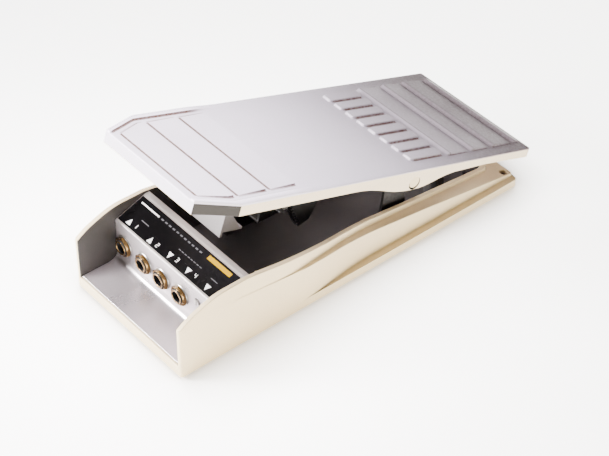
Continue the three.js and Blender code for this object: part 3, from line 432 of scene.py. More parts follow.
def arc(centre, radius, start, end, steps):
    """Points of a rounded corner in a lathe profile, by angle in degrees."""
    angles = [math.radians(start + (end - start) * index / steps) for index in range(steps + 1)]
    return [(centre[0] + radius * math.cos(a), centre[1] + radius * math.sin(a)) for a in angles]


def node_centre(node):
    low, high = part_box(node)
    return (low + high) / 2


FACE_TOE = Matrix.Rotation(math.radians(90), 4, "X")  # turns +Z to -Y
AXLE = Vector(TILT["pos_m"])
REST_TILT = math.radians(19)
TREADLE_FRAME = Matrix.Translation(AXLE) @ Matrix.Rotation(-REST_TILT, 4, "X")


# ---------------------------------------------------------------- large parts
# In metres, in the CAD's own frame.
PANEL_BACK = -0.077  # y where the bay between the cheeks ends and the well begins
WELL_HALF, WELL_END = 0.0447, 0.1085  # the well's half width, and y of its heel end
WELL_POSTS = [(0.0412, -0.067), (0.0278, 0.099), (0.021, 0.077)]  # posts in it: (distance off x = 0, y)
POST_REACH = 0.0065
CHEEK_INNER = 0.044  # the cheeks' inner faces are further out than this
RIDGE_START, RIDGE_LOW = -0.104, 0.030  # y where the panel's sloping top begins, and a height under it
REBATE_TOP, REBATE_HALF, REBATE_TOE = 0.0032, 0.045, -0.1275  # the bottom plate's rebate in the base


def in_cavity(centre, normal):
    """Inward faces of the well behind the jack panel, and the posts and bosses that stand in it."""
    behind_panel = centre.y > PANEL_BACK
    inward = normal.x * centre.x < -0.2 * abs(centre.x) or normal.y < -0.5 or normal.y > 0.5
    inside = abs(centre.x) < WELL_HALF and centre.y < WELL_END
    post = any(math.hypot(abs(centre.x) - x, centre.y - y) < POST_REACH for x, y in WELL_POSTS)
    return behind_panel and inside and (inward or post)


def in_bay(centre, normal):
    """Inner faces of the two cheeks beside the jack panel."""
    inward = abs(normal.x) > 0.9 and normal.x * centre.x < 0
    return inward and abs(centre.x) > CHEEK_INNER and centre.y < PANEL_BACK


def top_of_panel(centre, normal):
    """The slope that carries the label, and the flat top of the fold behind it."""
    return normal.z > 0.6 and centre.y > RIDGE_START and centre.z > RIDGE_LOW


def under_base(middle):
    """Edges of the narrow rebate for the bottom plate, too close together to be rounded."""
    return middle.z < REBATE_TOP and abs(middle.x) < REBATE_HALF and middle.y > REBATE_TOE


refine("base_shell", 0.6 * MM, 3, (FINISH["dark_inside_and_seat_shadow"], in_cavity), (FINISH["cheek_painted_shade"], in_bay),
       keep_sharp=under_base)
refine("jack_panel", 0.3 * MM, 2, (FINISH["ridge_painted_shade"], top_of_panel))
refine("bottom_plate", 0.25 * MM, 2, (FINISH["well_floor"], lambda centre, normal: normal.z > 0.5))
refine("label_plate", 0.12 * MM, 2)
refine("toe_stop_bracket", 0.2 * MM, 2, (FINISH["bracket_paint"], lambda centre, normal: True))
for node in ("pivot_bracket_right", "pivot_bracket_left", "pot_bracket", "potentiometer",
             "sector_gear", "pinion", "toe_stop_pad", "circuit_board", "level_trimmer_body", "pot_nut",
             "heel_stop_pad_right", "heel_stop_pad_left", "pivot_cap_right", "pivot_cap_left"):
    refine(node, 0.2 * MM, 2)


# ---------------------------------------------------------------- treadle
# Drawn in the treadle's own frame, in millimetres. x is across, d the distance from its toe edge, and
# heights are over the axle, or over the top face where they are a rise.
TREADLE_LENGTH = 251.6
TREADLE_TOE = -155.4  # its toe edge, from the axle
TREADLE_TOP = 7.6  # its top face, over the axle
TREADLE_HALF, TOE_HALF = 47.5, 37.7  # half its width, and half its toe edge
CHAMFER = 24.2  # length of the two cut toe corners along the treadle
HEEL_RADIUS = 1.6
EDGE_RADIUS = 0.7
SHEET = 2.4  # thickness of the plate and of its skirt
BARS = [(5.8, 25.4), (28.5, 47.8), (50.8, 68.6)]
BAR_HALF = 39.0
BAR_START, BAR_START_HALF, BAR_FLARE = 4.8, 32.1, 0.4056  # the toe bar widens with the cut corners
BAR_FOOT, BAR_RISE = 0.1, 0.9  # how far a bar stands up at its toe edge, and at its heel edge
BAR_GROOVE = 0.35  # depth of the groove along a bar's toe edge
RAMPS = [186.6, 206.8, 224.4, 243.7, 249.7]
RAMP_HALF = 39.4
RAMP_RISE = 1.4
RAMP_NOSE = 2.4  # distance from a ramp's toe edge to its highest line
RAMP_STEEPNESS = 0.62  # from its toe edge up to there
RAMP_FOOT = 0.05  # how far a ramp stands up at its heel edge
RAMP_BLEND = 0.12  # rounds a ramp's nose
PADS = (158.0, 184.5)
PAD_RISE = 1.3
PAD_COUNT = 8
PAD_PITCH = 2 * RAMP_HALF / PAD_COUNT
PAD_MARGIN = 1.5  # from a pad's side to halfway to the next
PAD_CORNER = 1.5
LIP_OUT = 4.3  # a raised lip round the toe end starts this far outside the bars
LIP_RISE = 0.8
LIP_FADE = (72, 24)  # the lip sinks into the top round this distance, over this length
MARK_FADE = (66, 14)  # its painted shade and painted highlight fade a little earlier
HEEL_SHADE = (188, 150)  # painted shade that grows towards the heel: half as strong here, and over this length
CUT_COSINE = 0.927  # of the angle between a cut corner and the treadle's side


def ease(value, edge, soft):
    """0 well before an edge and 1 well after it."""
    t = min(1.0, max(0.0, (value - edge) / soft + 0.5))
    return t * t * (3 - 2 * t)


def plan_half(d):
    """Half of the treadle's width at a distance from its toe."""
    past = d - (TREADLE_LENGTH - HEEL_RADIUS)
    rounding = HEEL_RADIUS - math.sqrt(max(0.0, HEEL_RADIUS ** 2 - past ** 2)) if past > 0 else 0.0
    return min(TREADLE_HALF, TOE_HALF + (TREADLE_HALF - TOE_HALF) * d / CHAMFER) - rounding


def bar_half(d):
    return min(BAR_HALF, BAR_START_HALF + (d - BAR_START) * BAR_FLARE)


def bar_height(x, d):
    height = 0.0
    across = 1 - ease(abs(x), bar_half(d), 0.3)
    for front, back in BARS:
        share = (d - front) / (back - front)
        if -0.1 < share < 1.1:
            rise = BAR_FOOT + (BAR_RISE - BAR_FOOT) * share
            height += across * ease(d, front, 0.4) * (1 - ease(d, back, 0.4)) * rise
            height -= across * BAR_GROOVE * (1 - ease(abs(d - front + 0.1), 0.2, 0.25))
    return height


def lip_height(x, d):
    return LIP_RISE * ease(abs(x), bar_half(d) + LIP_OUT, 0.4) * (1 - ease(d, *LIP_FADE))


def ramp_height(x, d):
    height = 0.0
    for front, back in zip(RAMPS, RAMPS[1:]):
        if front <= d <= back:
            rise = (d - front) * RAMP_STEEPNESS
            past_nose = (d - front - RAMP_NOSE) * (RAMP_RISE - RAMP_FOOT)
            fall = RAMP_RISE - past_nose / (back - front - RAMP_NOSE)
            gap = rise - fall
            height = max(0.0, (rise + fall - math.sqrt(gap * gap + RAMP_BLEND)) / 2)
    return height * (1 - ease(abs(x), RAMP_HALF - 0.2, 0.5))


def pad_centre(x):
    """Middle of the pad whose share of the width x is in."""
    return (math.floor((x + RAMP_HALF) / PAD_PITCH) + 0.5) * PAD_PITCH - RAMP_HALF


def pad_height(x, d):
    if not PADS[0] - 1 < d < PADS[1] + 1 or abs(x) > RAMP_HALF:
        return 0.0
    half_x, half_d = PAD_PITCH / 2 - PAD_MARGIN, (PADS[1] - PADS[0]) / 2
    over_x = abs(x - pad_centre(x)) - half_x + PAD_CORNER
    over_d = abs(d - (PADS[0] + PADS[1]) / 2) - half_d + PAD_CORNER
    outside = math.hypot(max(over_x, 0), max(over_d, 0)) + min(max(over_x, over_d), 0) - PAD_CORNER
    return PAD_RISE * (1 - ease(outside, 0.0, 0.7))


def edge_drop(x, d):
    """How far the top face is rounded off close to the outline."""
    side = plan_half(d) - abs(x)
    slanted = side * (CUT_COSINE if d < CHAMFER else 1.0)
    inside = min(slanted, d, TREADLE_LENGTH - d)
    if inside >= EDGE_RADIUS:
        return 0.0
    return EDGE_RADIUS - math.sqrt(max(0.0, EDGE_RADIUS ** 2 - (EDGE_RADIUS - max(inside, 0.0)) ** 2))


def top_height(x, d):
    relief = ramp_height(x, d) + pad_height(x, d) + bar_height(x, d) + lip_height(x, d)
    return TREADLE_TOP + relief - edge_drop(x, d)


def band(value, low, high, soft=0.25):
    """1 between two places and 0 outside them, with soft shoulders."""
    return ease(value, low, soft) * (1 - ease(value, high, soft))


def painted_shade_mark(x, d):
    """Painted shade in a brown tone: shadow lines at the feet of the lip and at the bars', pads' and ramps' ends,
    and more towards the heel.
    """
    away = abs(x)
    # The lip's foot takes more painted shade on the left side than on the right.
    foot = band(away - bar_half(d) - LIP_OUT, -1.1, 0.3) * (1 if x < 0 else 0.35)
    lines = [foot * (1 - ease(d, *MARK_FADE)) * ease(d, 1.5, 1.5)]
    for front, back in BARS:
        share = (d - front) / (back - front)
        inside = band(d, front, back)
        lines.append(inside * (0.5 + 0.5 * share) * band(away - bar_half(d), -0.25, 1.1))
        lines.append(band(d, front - 1.1, front + 0.4) * (1 - ease(away, bar_half(d), 0.3)))
    for front, back in zip(RAMPS, RAMPS[1:]):
        lines.append(0.85 * band(d, front + 1.2, back - 2) * band(away, RAMP_HALF - 0.2, RAMP_HALF + 0.6))
        lines.append(0.8 * band(d, front + 2.7, front + 3.3, 0.3) * (1 - ease(away, RAMP_HALF, 0.4)))
    # Painted shade that deepens towards the heel.
    lines.append(0.8 * ease(d, *HEEL_SHADE))
    # A painted shadow along the right side of each pad.
    if away < RAMP_HALF:
        beside = x - pad_centre(x) - PAD_PITCH / 2 + PAD_MARGIN
        lines.append(band(d, PADS[0] + 1, PADS[1] - 0.6) * band(beside, -0.1, 1.1))
    return max(lines)


def painted_highlight_mark(x, d):
    """Painted highlights along the ramps' noses, the pads' and bars' toe edges and the lip's top."""
    across = 1 - ease(abs(x), RAMP_HALF - 0.4, 0.6)
    lines = [band(abs(x) - bar_half(d) - LIP_OUT, 0.35, 2.0) * (1 - ease(d, *MARK_FADE))]
    lines += [0.9 * across * band(d, front + 0.9, front + 2.5) for front in RAMPS[:-1]]
    on_bar = 1 - ease(abs(x), bar_half(d), 0.3)
    lines += [0.4 * on_bar * band(d, front - 1.3, front - 0.7) for front, _ in BARS]
    lines.append(0.2 * across * band(d, PADS[0] - 0.2, PADS[0] + 0.4))
    return max(lines)


def clustered(low, high, spacing, edges_at, offsets):
    """Sorted places from low to high: even steps, with extra ones beside each edge."""
    places = {round(low + (high - low) * index / round((high - low) / spacing), 3)
              for index in range(round((high - low) / spacing) + 1)}
    close = [round(edge + offset, 3) for edge in edges_at for offset in offsets
             if low <= edge + offset <= high]
    places = {place for place in places if all(abs(place - near) > 0.12 for near in close)}
    return sorted(places | set(close) | {low, high})


def treadle_rows():
    """Distances from the toe edge, close together where the top's height changes."""
    step = (-1.3, -0.9, -0.62, -0.4, -0.2, 0.0, 0.15, 0.3, 0.6)
    at = [edge for bar in BARS for edge in bar] + list(PADS)
    rows = clustered(0.0, TREADLE_LENGTH, 2.2, at, step)
    nose = (-0.3, 0.0, 0.3, 0.9, 1.5, 2.0, 2.3, 2.6, 2.85, 3.1, 3.5)
    fine = [ramp + offset for ramp in RAMPS for offset in nose]
    border = [0.06, 0.2, 0.42, EDGE_RADIUS]
    fine += border + [TREADLE_LENGTH - place for place in border] + [CHAMFER, TREADLE_LENGTH - 1.2]
    return sorted({round(row, 3) for row in rows + fine if 0 <= row <= TREADLE_LENGTH})


def treadle_columns():
    """Places across at full width, for |x| up to just outside the bars."""
    step = (-0.8, -0.55, -0.3, -0.1, 0.1, 0.3, 0.55, 0.8)
    half = PAD_PITCH / 2 - PAD_MARGIN
    centres = [-RAMP_HALF + PAD_PITCH * (index + 0.5) for index in range(PAD_COUNT)]
    pads = [centre + side * half for centre in centres for side in (-1, 1)]
    return clustered(-39.8, 39.8, 2.6, pads + [-39.1, 39.1], step)


def treadle_plate():
    """The treadle's top with its relief and marks, closed a sheet's thickness below."""
    columns = treadle_columns()
    outward = [1.6, 3.0, 3.4, 3.65, 3.9, 4.1, 4.3, 4.5, 4.75, 5.6]
    inset = [EDGE_RADIUS, 0.42, 0.2, 0.06, 0.0]
    bm = bmesh.new()
    painted_shade_layer = bm.verts.layers.float.new("painted_shade_mark")
    painted_highlight_layer = bm.verts.layers.float.new("painted_highlight_mark")
    rows = []
    for d in treadle_rows():
        half, bar = plan_half(d), bar_half(d)
        right = [bar + out for out in outward] + [half - place for place in inset]
        places = [-place for place in reversed(right)] + [c * bar / BAR_HALF for c in columns] + right
        rows.append([bm.verts.new((x, TREADLE_TOE + d, top_height(x, d))) for x in places])
    # Each corner's painted shade and painted highlight, which the silver paint reads.
    for vert in bm.verts:
        vert[painted_shade_layer] = painted_shade_mark(vert.co.x, vert.co.y - TREADLE_TOE)
        vert[painted_highlight_layer] = painted_highlight_mark(vert.co.x, vert.co.y - TREADLE_TOE)
    for low, high in zip(rows, rows[1:]):
        for index in range(len(low) - 1):
            bm.faces.new([low[index], low[index + 1], high[index + 1], high[index]])
    border = rows[0] + [row[-1] for row in rows[1:-1]] + rows[-1][::-1] + [row[0] for row in rows[-2:0:-1]]
    # The underside is a little smaller, so that it stays inside the skirt.
    lower = [bm.verts.new((v.co.x * 0.9985, v.co.y * 0.9985 - 0.05, TREADLE_TOP - SHEET)) for v in border]
    for index in range(len(border)):
        after = (index + 1) % len(border)
        bm.faces.new([border[after], border[index], lower[index], lower[after]])
    bm.faces.new(lower)
    return bm


# The skirt's lower edge, as (distance from the toe edge, height): shallow at the ends, deep round the axle.
SKIRT_STOPS = [(-1, 0.2), (10, 0.6), (108, 1.0), (114, 0.85), (120, 0.25), (127, -1.0), (134, -2.7),
               (141, -4.2), (148, -4.95), (155, -5.1), (161, -4.85), (167, -3.7), (173, -1.9), (179, -0.1),
               (184, 0.9), (189, 1.4), (214, 2.4), (252, 1.5)]
# Its section, as (distance inward, height over the lower edge, or None for the fixed height that follows).
SKIRT_SECTION = ((0.0, None, TREADLE_TOP - EDGE_RADIUS + 0.02), (0.0, 0.45, 0), (0.13, 0.13, 0),
                 (0.45, 0.0, 0), (SHEET - 0.45, 0.0, 0), (SHEET - 0.13, 0.13, 0), (SHEET, 0.45, 0),
                 (SHEET, None, TREADLE_TOP - SHEET + 0.1), (0.3, None, TREADLE_TOP - SHEET + 0.3))
SIDE_STEPS = 64


def skirt_bottom(d):
    """Height of the skirt's lower edge."""
    for (d0, z0), (d1, z1) in zip(SKIRT_STOPS, SKIRT_STOPS[1:]):
        if d0 <= d <= d1:
            return z0 + (z1 - z0) * (d - d0) / (d1 - d0)
    return SKIRT_STOPS[-1][1]


def skirt_outline():
    """Points round the treadle with their outward normals, as (x, d, (normal x, normal d))."""
    slant = math.hypot(CHAMFER, TREADLE_HALF - TOE_HALF)
    slope = (CHAMFER / slant, -(TREADLE_HALF - TOE_HALF) / slant)
    half = []
    for x in (0.0, 12.0, 24.0, 36.0, TOE_HALF):
        half.append((x, 0.0, (0.0, -1.0)))
    for share in (0.0, 0.25, 0.5, 0.75, 1.0):
        half.append((TOE_HALF + (TREADLE_HALF - TOE_HALF) * share, CHAMFER * share, slope))
    straight = TREADLE_LENGTH - HEEL_RADIUS - CHAMFER
    for index in range(SIDE_STEPS):
        half.append((TREADLE_HALF, CHAMFER + straight * index / (SIDE_STEPS - 1), (1.0, 0.0)))
    for turn in (22.5, 45, 67.5, 90):
        a = math.radians(turn)
        half.append((TREADLE_HALF - HEEL_RADIUS + HEEL_RADIUS * math.cos(a),
                     TREADLE_LENGTH - HEEL_RADIUS + HEEL_RADIUS * math.sin(a), (math.cos(a), math.sin(a))))
    for x in (36.0, 24.0, 12.0, 0.0):
        half.append((x, TREADLE_LENGTH, (0.0, 1.0)))
    mirrored = [(-x, d, (-nx, nd)) for x, d, (nx, nd) in reversed(half[1:-1])]
    return half + mirrored


def treadle_skirt():
    bm = bmesh.new()
    rings = []
    for x, d, (nx, nd) in skirt_outline():
        ring = []
        for inward, over_bottom, height in SKIRT_SECTION:
            z = height if over_bottom is None else skirt_bottom(d) + over_bottom
            ring.append(bm.verts.new((x - nx * inward, TREADLE_TOE + d - nd * inward, z)))
        rings.append(ring)
    for index in range(len(rings)):
        here, there = rings[index], rings[(index + 1) % len(rings)]
        for step in range(len(SKIRT_SECTION)):
            after = (step + 1) % len(SKIRT_SECTION)
            bm.faces.new([here[step], here[after], there[after], there[step]])
    bmesh.ops.recalc_face_normals(bm, faces=bm.faces)
    return bm


def add_block(bm, low, high):
    """A plain block between two corners, added to a mesh under way."""
    size = [b - a for a, b in zip(low, high)]
    middle = [(a + b) / 2 for a, b in zip(low, high)]
    bmesh.ops.create_cube(bm, size=1, matrix=Matrix.Translation(middle) @ Matrix.Diagonal((*size, 1)))


RIBS = (-118, -80, 26, 60)  # cross ribs under the treadle, from the axle
RIB_HALF, RIB_DEPTH = 0.9, 5.6
AXLE_BOSS, BOSS_RADIUS = (39, 45.5), 5  # the boss at each end of the axle: its two ends, and its radius


def treadle_ribs():
    bm = bmesh.new()
    inner = TREADLE_HALF - SHEET + 0.2
    for u in RIBS:
        add_block(bm, (-inner, u - RIB_HALF, TREADLE_TOP - RIB_DEPTH),
                  (inner, u + RIB_HALF, TREADLE_TOP - SHEET + 0.2))
    for side in (-1, 1):
        a, b = sorted(side * end for end in AXLE_BOSS)
        add_block(bm, (a, -BOSS_RADIUS, 0), (b, BOSS_RADIUS, TREADLE_TOP - SHEET + 0.1))
        turn = Matrix.Translation(((a + b) / 2, 0, 0)) @ Matrix.Rotation(math.radians(90), 4, "Y")
        bmesh.ops.create_cone(bm, cap_ends=True, segments=40, radius1=BOSS_RADIUS, radius2=BOSS_RADIUS,
                              depth=b - a, matrix=turn)
    return bm


# The round seat for the axle's cap in each skirt: its radius, how far it sits below the axle, its floor's
# distance from the middle plane, and a place outside the skirt where the cut starts.
SEAT_RADIUS, SEAT_DROP, SEAT_FLOOR, SEAT_OUTSIDE = 4.15, 0.7, 45.9, 50


def hollow(piece, radius, low, high, drop):
    """Cuts a round seat along X through a piece, in its own frame, a little below the axle."""
    bm = bmesh.new()
    turn = Matrix.Translation(((low + high) / 2, 0, -drop)) @ Matrix.Rotation(math.radians(90), 4, "Y")
    bmesh.ops.create_cone(bm, cap_ends=True, segments=64, radius1=radius, radius2=radius, depth=high - low,
                          matrix=turn)
    carve(piece, add_mesh("seat", bm))


def add_treadle():
    scale = Matrix.Diagonal((MM, MM, MM, 1))
    plate = new_piece("treadle_plate", treadle_plate(), FINISH["silver_paint"], 40)
    skirt_mesh = treadle_skirt()
    skirt_mesh.normal_update()
    # Each skirt face takes a finish by the way it faces: the cut corners the near-black painted shade, the toe
    # face the top's silver paint, the sides the creamy painted warm light.
    for face in skirt_mesh.faces:
        slanted = abs(face.normal.x) > 0.85 and face.normal.y < -0.3
        face.material_index = 1 if slanted else 2 if face.normal.y < -0.95 else 0
    skirt = new_piece("treadle_skirt", skirt_mesh, FINISH["skirt_painted_warm_light"], 18)
    skirt.data.materials.append(FINISH["chamfer_painted_shade"])
    skirt.data.materials.append(FINISH["silver_paint"])
    skirt.data.materials.append(FINISH["dark_inside_and_seat_shadow"])
    for side in (-1, 1):
        hollow(skirt, SEAT_RADIUS, *sorted((side * SEAT_FLOOR, side * SEAT_OUTSIDE)), SEAT_DROP)
    # The seats' faces take the near-black inside finish: a painted shadow in the gap round each cap.
    for polygon in skirt.data.polygons:
        middle = polygon.center
        in_seat = math.hypot(middle.y, middle.z + SEAT_DROP) < SEAT_RADIUS + 0.1
        if in_seat and abs(middle.x) < TREADLE_HALF - 0.2:
            polygon.material_index = 3
    skirt.data.set_sharp_from_angle(angle=math.radians(18))
    ribs = new_piece("treadle_ribs", treadle_ribs(), FINISH["skirt_painted_warm_light"], 30)
    bevel = ribs.modifiers.new("round", "BEVEL")
    bevel.width = 0.3
    bevel.segments = 2
    bake_modifiers(ribs)
    for piece in (plate, skirt, ribs):
        piece.data.transform(TREADLE_FRAME @ scale)
        settle(piece, "treadle")


add_treadle()


# ---------------------------------------------------------------- sockets
NUT_CORNER, NUT_HOLE, NUT_CROWN = 6.45 * MM, 4.85 * MM, 5.5 * MM  # radii; the crown is the flat face's
WASHER_HOLE, WASHER_EDGE = 4.95 * MM, 0.15 * MM
SLEEVE_RADIUS, SLEEVE_BORE, THREAD_PITCH, THREAD_DEPTH = 4.8 * MM, 3.32 * MM, 0.8 * MM, 0.26 * MM
SLEEVE_START = -1.2 * MM  # behind the nut's seat, inside the panel


def hexagon_nut(corner, hole, height, crown):
    """Hexagon nut with turned chamfers on both faces, its seat at z = 0."""
    bm = bmesh.new()
    columns = 96
    flat = corner * math.cos(math.radians(30))
    rows = []
    for index in range(columns):
        angle = 2 * math.pi * index / columns
        within = (angle + math.radians(30)) % math.radians(60) - math.radians(30)
        outer = min(flat / math.cos(within), corner * 0.992)
        drop = max(0.0, outer - crown) * math.tan(math.radians(32))
        points = [(hole, 0.25 * MM), (hole + 0.3 * MM, 0), (crown, 0), (outer, drop * 0.7),
                  (outer, height - drop), (crown, height),
                  (hole + 0.45 * MM, height), (hole, height - 0.45 * MM)]
        rows.append([bm.verts.new((r * math.cos(angle), r * math.sin(angle), z)) for r, z in points])
    for index in range(columns):
        here, there = rows[index], rows[(index + 1) % columns]
        for step in range(len(here)):
            after = (step + 1) % len(here)
            bm.faces.new([here[step], there[step], there[after], here[after]])
    bmesh.ops.recalc_face_normals(bm, faces=bm.faces)
    return bm


def threaded_sleeve(radius, bore, low, high, pitch):
    """Threaded nose of a socket: ridges on the outside, a chamfered mouth and a smooth bore."""
    root = radius - THREAD_DEPTH
    profile = [(bore, low), (root, low)]
    height = low
    while height + pitch < high - 0.5 * MM:
        profile += [(root, height + 0.08 * pitch), (radius, height + 0.45 * pitch),
                    (radius, height + 0.58 * pitch), (root, height + 0.95 * pitch)]
        height += pitch
    profile += [(root, high - 0.35 * MM)]
    profile += arc((radius - 0.55 * MM, high - 0.3 * MM), 0.3 * MM, 0, 90, 4)
    profile += arc((bore + 0.45 * MM, high - 0.45 * MM), 0.45 * MM, 90, 180, 5)
    profile += [(bore, low)]
    return lathe(profile, 64)


SOCKETS = ("input_a", "input_b", "output_a", "output_b")


def add_socket(name):
    body, washer, nut = (f"jack_{part}_{name}" for part in ("body", "washer", "nut"))
    low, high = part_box(nut)
    centre = (low + high) / 2
    seat = Vector((centre.x, high.y, centre.z))
    place = Matrix.Translation(seat) @ FACE_TOE
    made = new_piece(f"{nut}_finished", hexagon_nut(NUT_CORNER, NUT_HOLE, high.y - low.y, NUT_CROWN),
                     FINISH["gold_plating"], 24)
    made.matrix_world = place
    settle(made, nut)
    low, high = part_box(washer)
    face = high.y - low.y
    outer = (high.z - low.z) / 2
    rim = outer - WASHER_EDGE
    profile = [(WASHER_HOLE, 0), (rim, 0), (outer, WASHER_EDGE), (outer, face - WASHER_EDGE),
               (rim, face), (WASHER_HOLE, face), (WASHER_HOLE, 0)]
    ring = new_piece(f"{washer}_finished", lathe(profile, 64), FINISH["bright_steel"])
    ring.matrix_world = Matrix.Translation((centre.x, high.y, centre.z)) @ FACE_TOE
    settle(ring, washer)
    refine(body, 0.25 * MM, 2)
    reach = seat.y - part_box(body)[0].y + 0.15 * MM
    thread = threaded_sleeve(SLEEVE_RADIUS, SLEEVE_BORE, SLEEVE_START, reach, THREAD_PITCH)
    sleeve = new_piece(f"{body}_sleeve", thread, FINISH["gold_plating"], 40)
    sleeve.matrix_world = place
    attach(sleeve, BODY_OF[body])


for name in SOCKETS:
    add_socket(name)


# ---------------------------------------------------------------- printed label
plate_low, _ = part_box("label_plate")
LABEL_SLOPE = math.radians(20)
LABEL_FRONT = 1.4 * MM  # the plate's front edge from the fold, along the slope
LABEL_THICKNESS = 0.4 * MM
PRINT_LIFT = 0.02 * MM
PRINT_DEPTH = 0.05 * MM
# The print is drawn from the panel's fold up the slope, on the plate's face: the plate's lower front edge
# gives the place.
label_edge = Vector((0, plate_low.y + LABEL_THICKNESS * math.sin(LABEL_SLOPE), plate_low.z))
LABEL_FRAME = (Matrix.Translation(label_edge) @ Matrix.Rotation(LABEL_SLOPE, 4, "X")
               @ Matrix.Translation((0, -LABEL_FRONT, LABEL_THICKNESS)))


def printed(name, outlines, material):
    """Flat shapes printed on the label, given as outlines of (across, up the slope) in millimetres."""
    bm = bmesh.new()
    for outline in outlines:
        bottom = [bm.verts.new((x * MM, s * MM, -PRINT_LIFT)) for x, s in outline]
        top = [bm.verts.new((x * MM, s * MM, PRINT_DEPTH)) for x, s in outline]
        bm.faces.new(top)
        bm.faces.new(bottom[::-1])
        for index in range(len(outline)):
            after = (index + 1) % len(outline)
            bm.faces.new([bottom[index], bottom[after], top[after], top[index]])
    bmesh.ops.recalc_face_normals(bm, faces=bm.faces)
    piece = new_piece(name, bm, material)
    piece.matrix_world = LABEL_FRAME
    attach(piece, BODY_OF["label_plate"])


def rectangle(x0, x1, s0, s1):
    return [(x0, s0), (x1, s0), (x1, s1), (x0, s1)]


def pointer(x, s, direction):
    return [(x - 1.9 * direction, s - 1.5 * direction), (x + 1.9 * direction, s - 1.5 * direction),
            (x, s + 2.2 * direction)]


def stroke(points):
    """Short straight strokes joined end to end, as thin rectangles."""
    made = []
    for (ax, ay), (bx, by) in zip(points, points[1:]):
        length = math.hypot(bx - ax, by - ay)
        nx, ny = -(by - ay) / length * STROKE / 2, (bx - ax) / length * STROKE / 2
        made.append([(ax - nx, ay - ny), (bx - nx, by - ny), (bx + nx, by + ny), (ax + nx, ay + ny)])
    return made


STROKE = 0.34  # width of a numeral's strokes
# Plain seven-stroke numerals, 1.4 mm wide and 2.4 mm high.
DIGITS = {
    "1": [[(0.7, 0), (0.7, 2.4)]],
    "2": [[(0, 2.4), (1.4, 2.4), (1.4, 1.2), (0, 1.2), (0, 0), (1.4, 0)]],
    "3": [[(0, 2.4), (1.4, 2.4), (1.4, 0), (0, 0)], [(0.2, 1.2), (1.4, 1.2)]],
    "4": [[(0, 2.4), (0, 1.2), (1.4, 1.2)], [(1.4, 2.4), (1.4, 0)]],
}


def numeral(digit, x, s):
    return [outline for path in DIGITS[digit] for outline in stroke([(x + a, s + b) for a, b in path])]


# Places on the label are in millimetres, as (across, up the slope). A pointer's third number is 1 for up.
POINTERS = [(-35.8, 4.1, 1), (-16.5, 3.8, 1), (0.1, 4.8, -1), (16.1, 4.8, -1), (32.8, 4.7, -1)]
TITLE_ROW = (16.6, 17.5)  # lower and upper edge of the bar and dashes along the top
white = [pointer(*spot) for spot in POINTERS]
for digit, (x, s, _) in zip("1234", POINTERS):
    white += numeral(digit, x + 5.2, s - 0.6)
white += [rectangle(-40.5, -24.5, *TITLE_ROW)]
printed("label_white_print", white, FINISH["white_ink"])
grey = [rectangle(-22.5 + 3.4 * index, -20.5 + 3.4 * index, *TITLE_ROW) for index in range(11)]
grey += [rectangle(1.0 + 2.6 * index, 2.8 + 2.6 * index, 10.3, 10.8) for index in range(8)]
grey += [rectangle(30.0, 35.5, 9.6, 10.1), rectangle(-31.0, -24.5, 9.0, 9.5)]
printed("label_grey_print", grey, FINISH["grey_ink"])
printed("label_yellow_bar", [rectangle(18.3, 37.8, 16.5, 19.1)], FINISH["yellow_ink"])


# ---------------------------------------------------------------- turned details
def pan_head(head, height, shank, length):
    """Pan-head screw with a cross recess, its seat at z = 0."""
    profile = [(0, -length), (shank * 0.75, -length), (shank, -length + shank * 0.3), (shank, 0), (head, 0)]
    profile += arc((head - height * 0.45, height * 0.4), height * 0.45, 0, 60, 4)
    profile += [(head * 0.5, height * 0.97), (0, height)]
    screw = add_mesh("head", lathe(profile, 40))
    cross = bmesh.new()
    for turn in (0, 90):
        blade = Matrix.Rotation(math.radians(turn), 4, "Z") @ Matrix.Translation((0, 0, height * 1.05))
        size = Matrix.Diagonal((head * 1.15, head * 0.26, height * 1.25, 1))
        bmesh.ops.create_cube(cross, size=1, matrix=blade @ size)
    carve(screw, add_mesh("recess", cross), True)
    finished = screw.data
    bpy.data.objects.remove(screw)
    smooth(finished, 35)
    return finished


def add_screws(prefix, head, height, shank, length, turn, treadle_slope=False, finish="bright_steel"):
    """One finished screw for each CAD screw of a kind; turn is 0 for a head that looks up, 180 for down."""
    mesh = pan_head(head, height, shank, length)
    mesh.materials.append(FINISH[finish])
    middle = Matrix.Translation((0, 0, (height - length) / 2))
    slope = TREADLE_FRAME.to_3x3().to_4x4() if treadle_slope else Matrix.Identity(4)
    turned = slope @ Matrix.Rotation(math.radians(turn), 4, "X")
    for node in sorted(name for name in frame["nodes"] if name.startswith(prefix)):
        centre = node_centre(node)
        piece = add_object(f"{node}_finished", mesh)
        # Each head's cross stops at its own angle, taken from the screw's name and place.
        spin = Matrix.Rotation(math.radians(37 * (len(node) + int(centre.x * 900))), 4, "Z")
        piece.matrix_world = Matrix.Translation(centre) @ turned @ middle.inverted() @ spin
        settle(piece, node)


# Head radius and height, shank radius and length, and the way it faces.
add_screws("plate_screw_", 2.4 * MM, 1.32 * MM, 1.4 * MM, 8 * MM, 180)
add_screws("pivot_bracket_screw_", 2.8 * MM, 1.54 * MM, 1.4 * MM, 3.2 * MM, 0)
add_screws("pot_bracket_screw_", 2.8 * MM, 1.54 * MM, 1.4 * MM, 2.7 * MM, 0)
add_screws("sector_screw_", 2.8 * MM, 1.54 * MM, 1.4 * MM, 3 * MM, 180, True)
add_screws("stop_bracket_screw_", 2.8 * MM, 1.54 * MM, 1.4 * MM, 1.7 * MM, 180, True)
add_screws("heel_screw_", 1.9 * MM, 1.04 * MM, 0.9 * MM, 0.4 * MM, 0, False, "dark_steel")

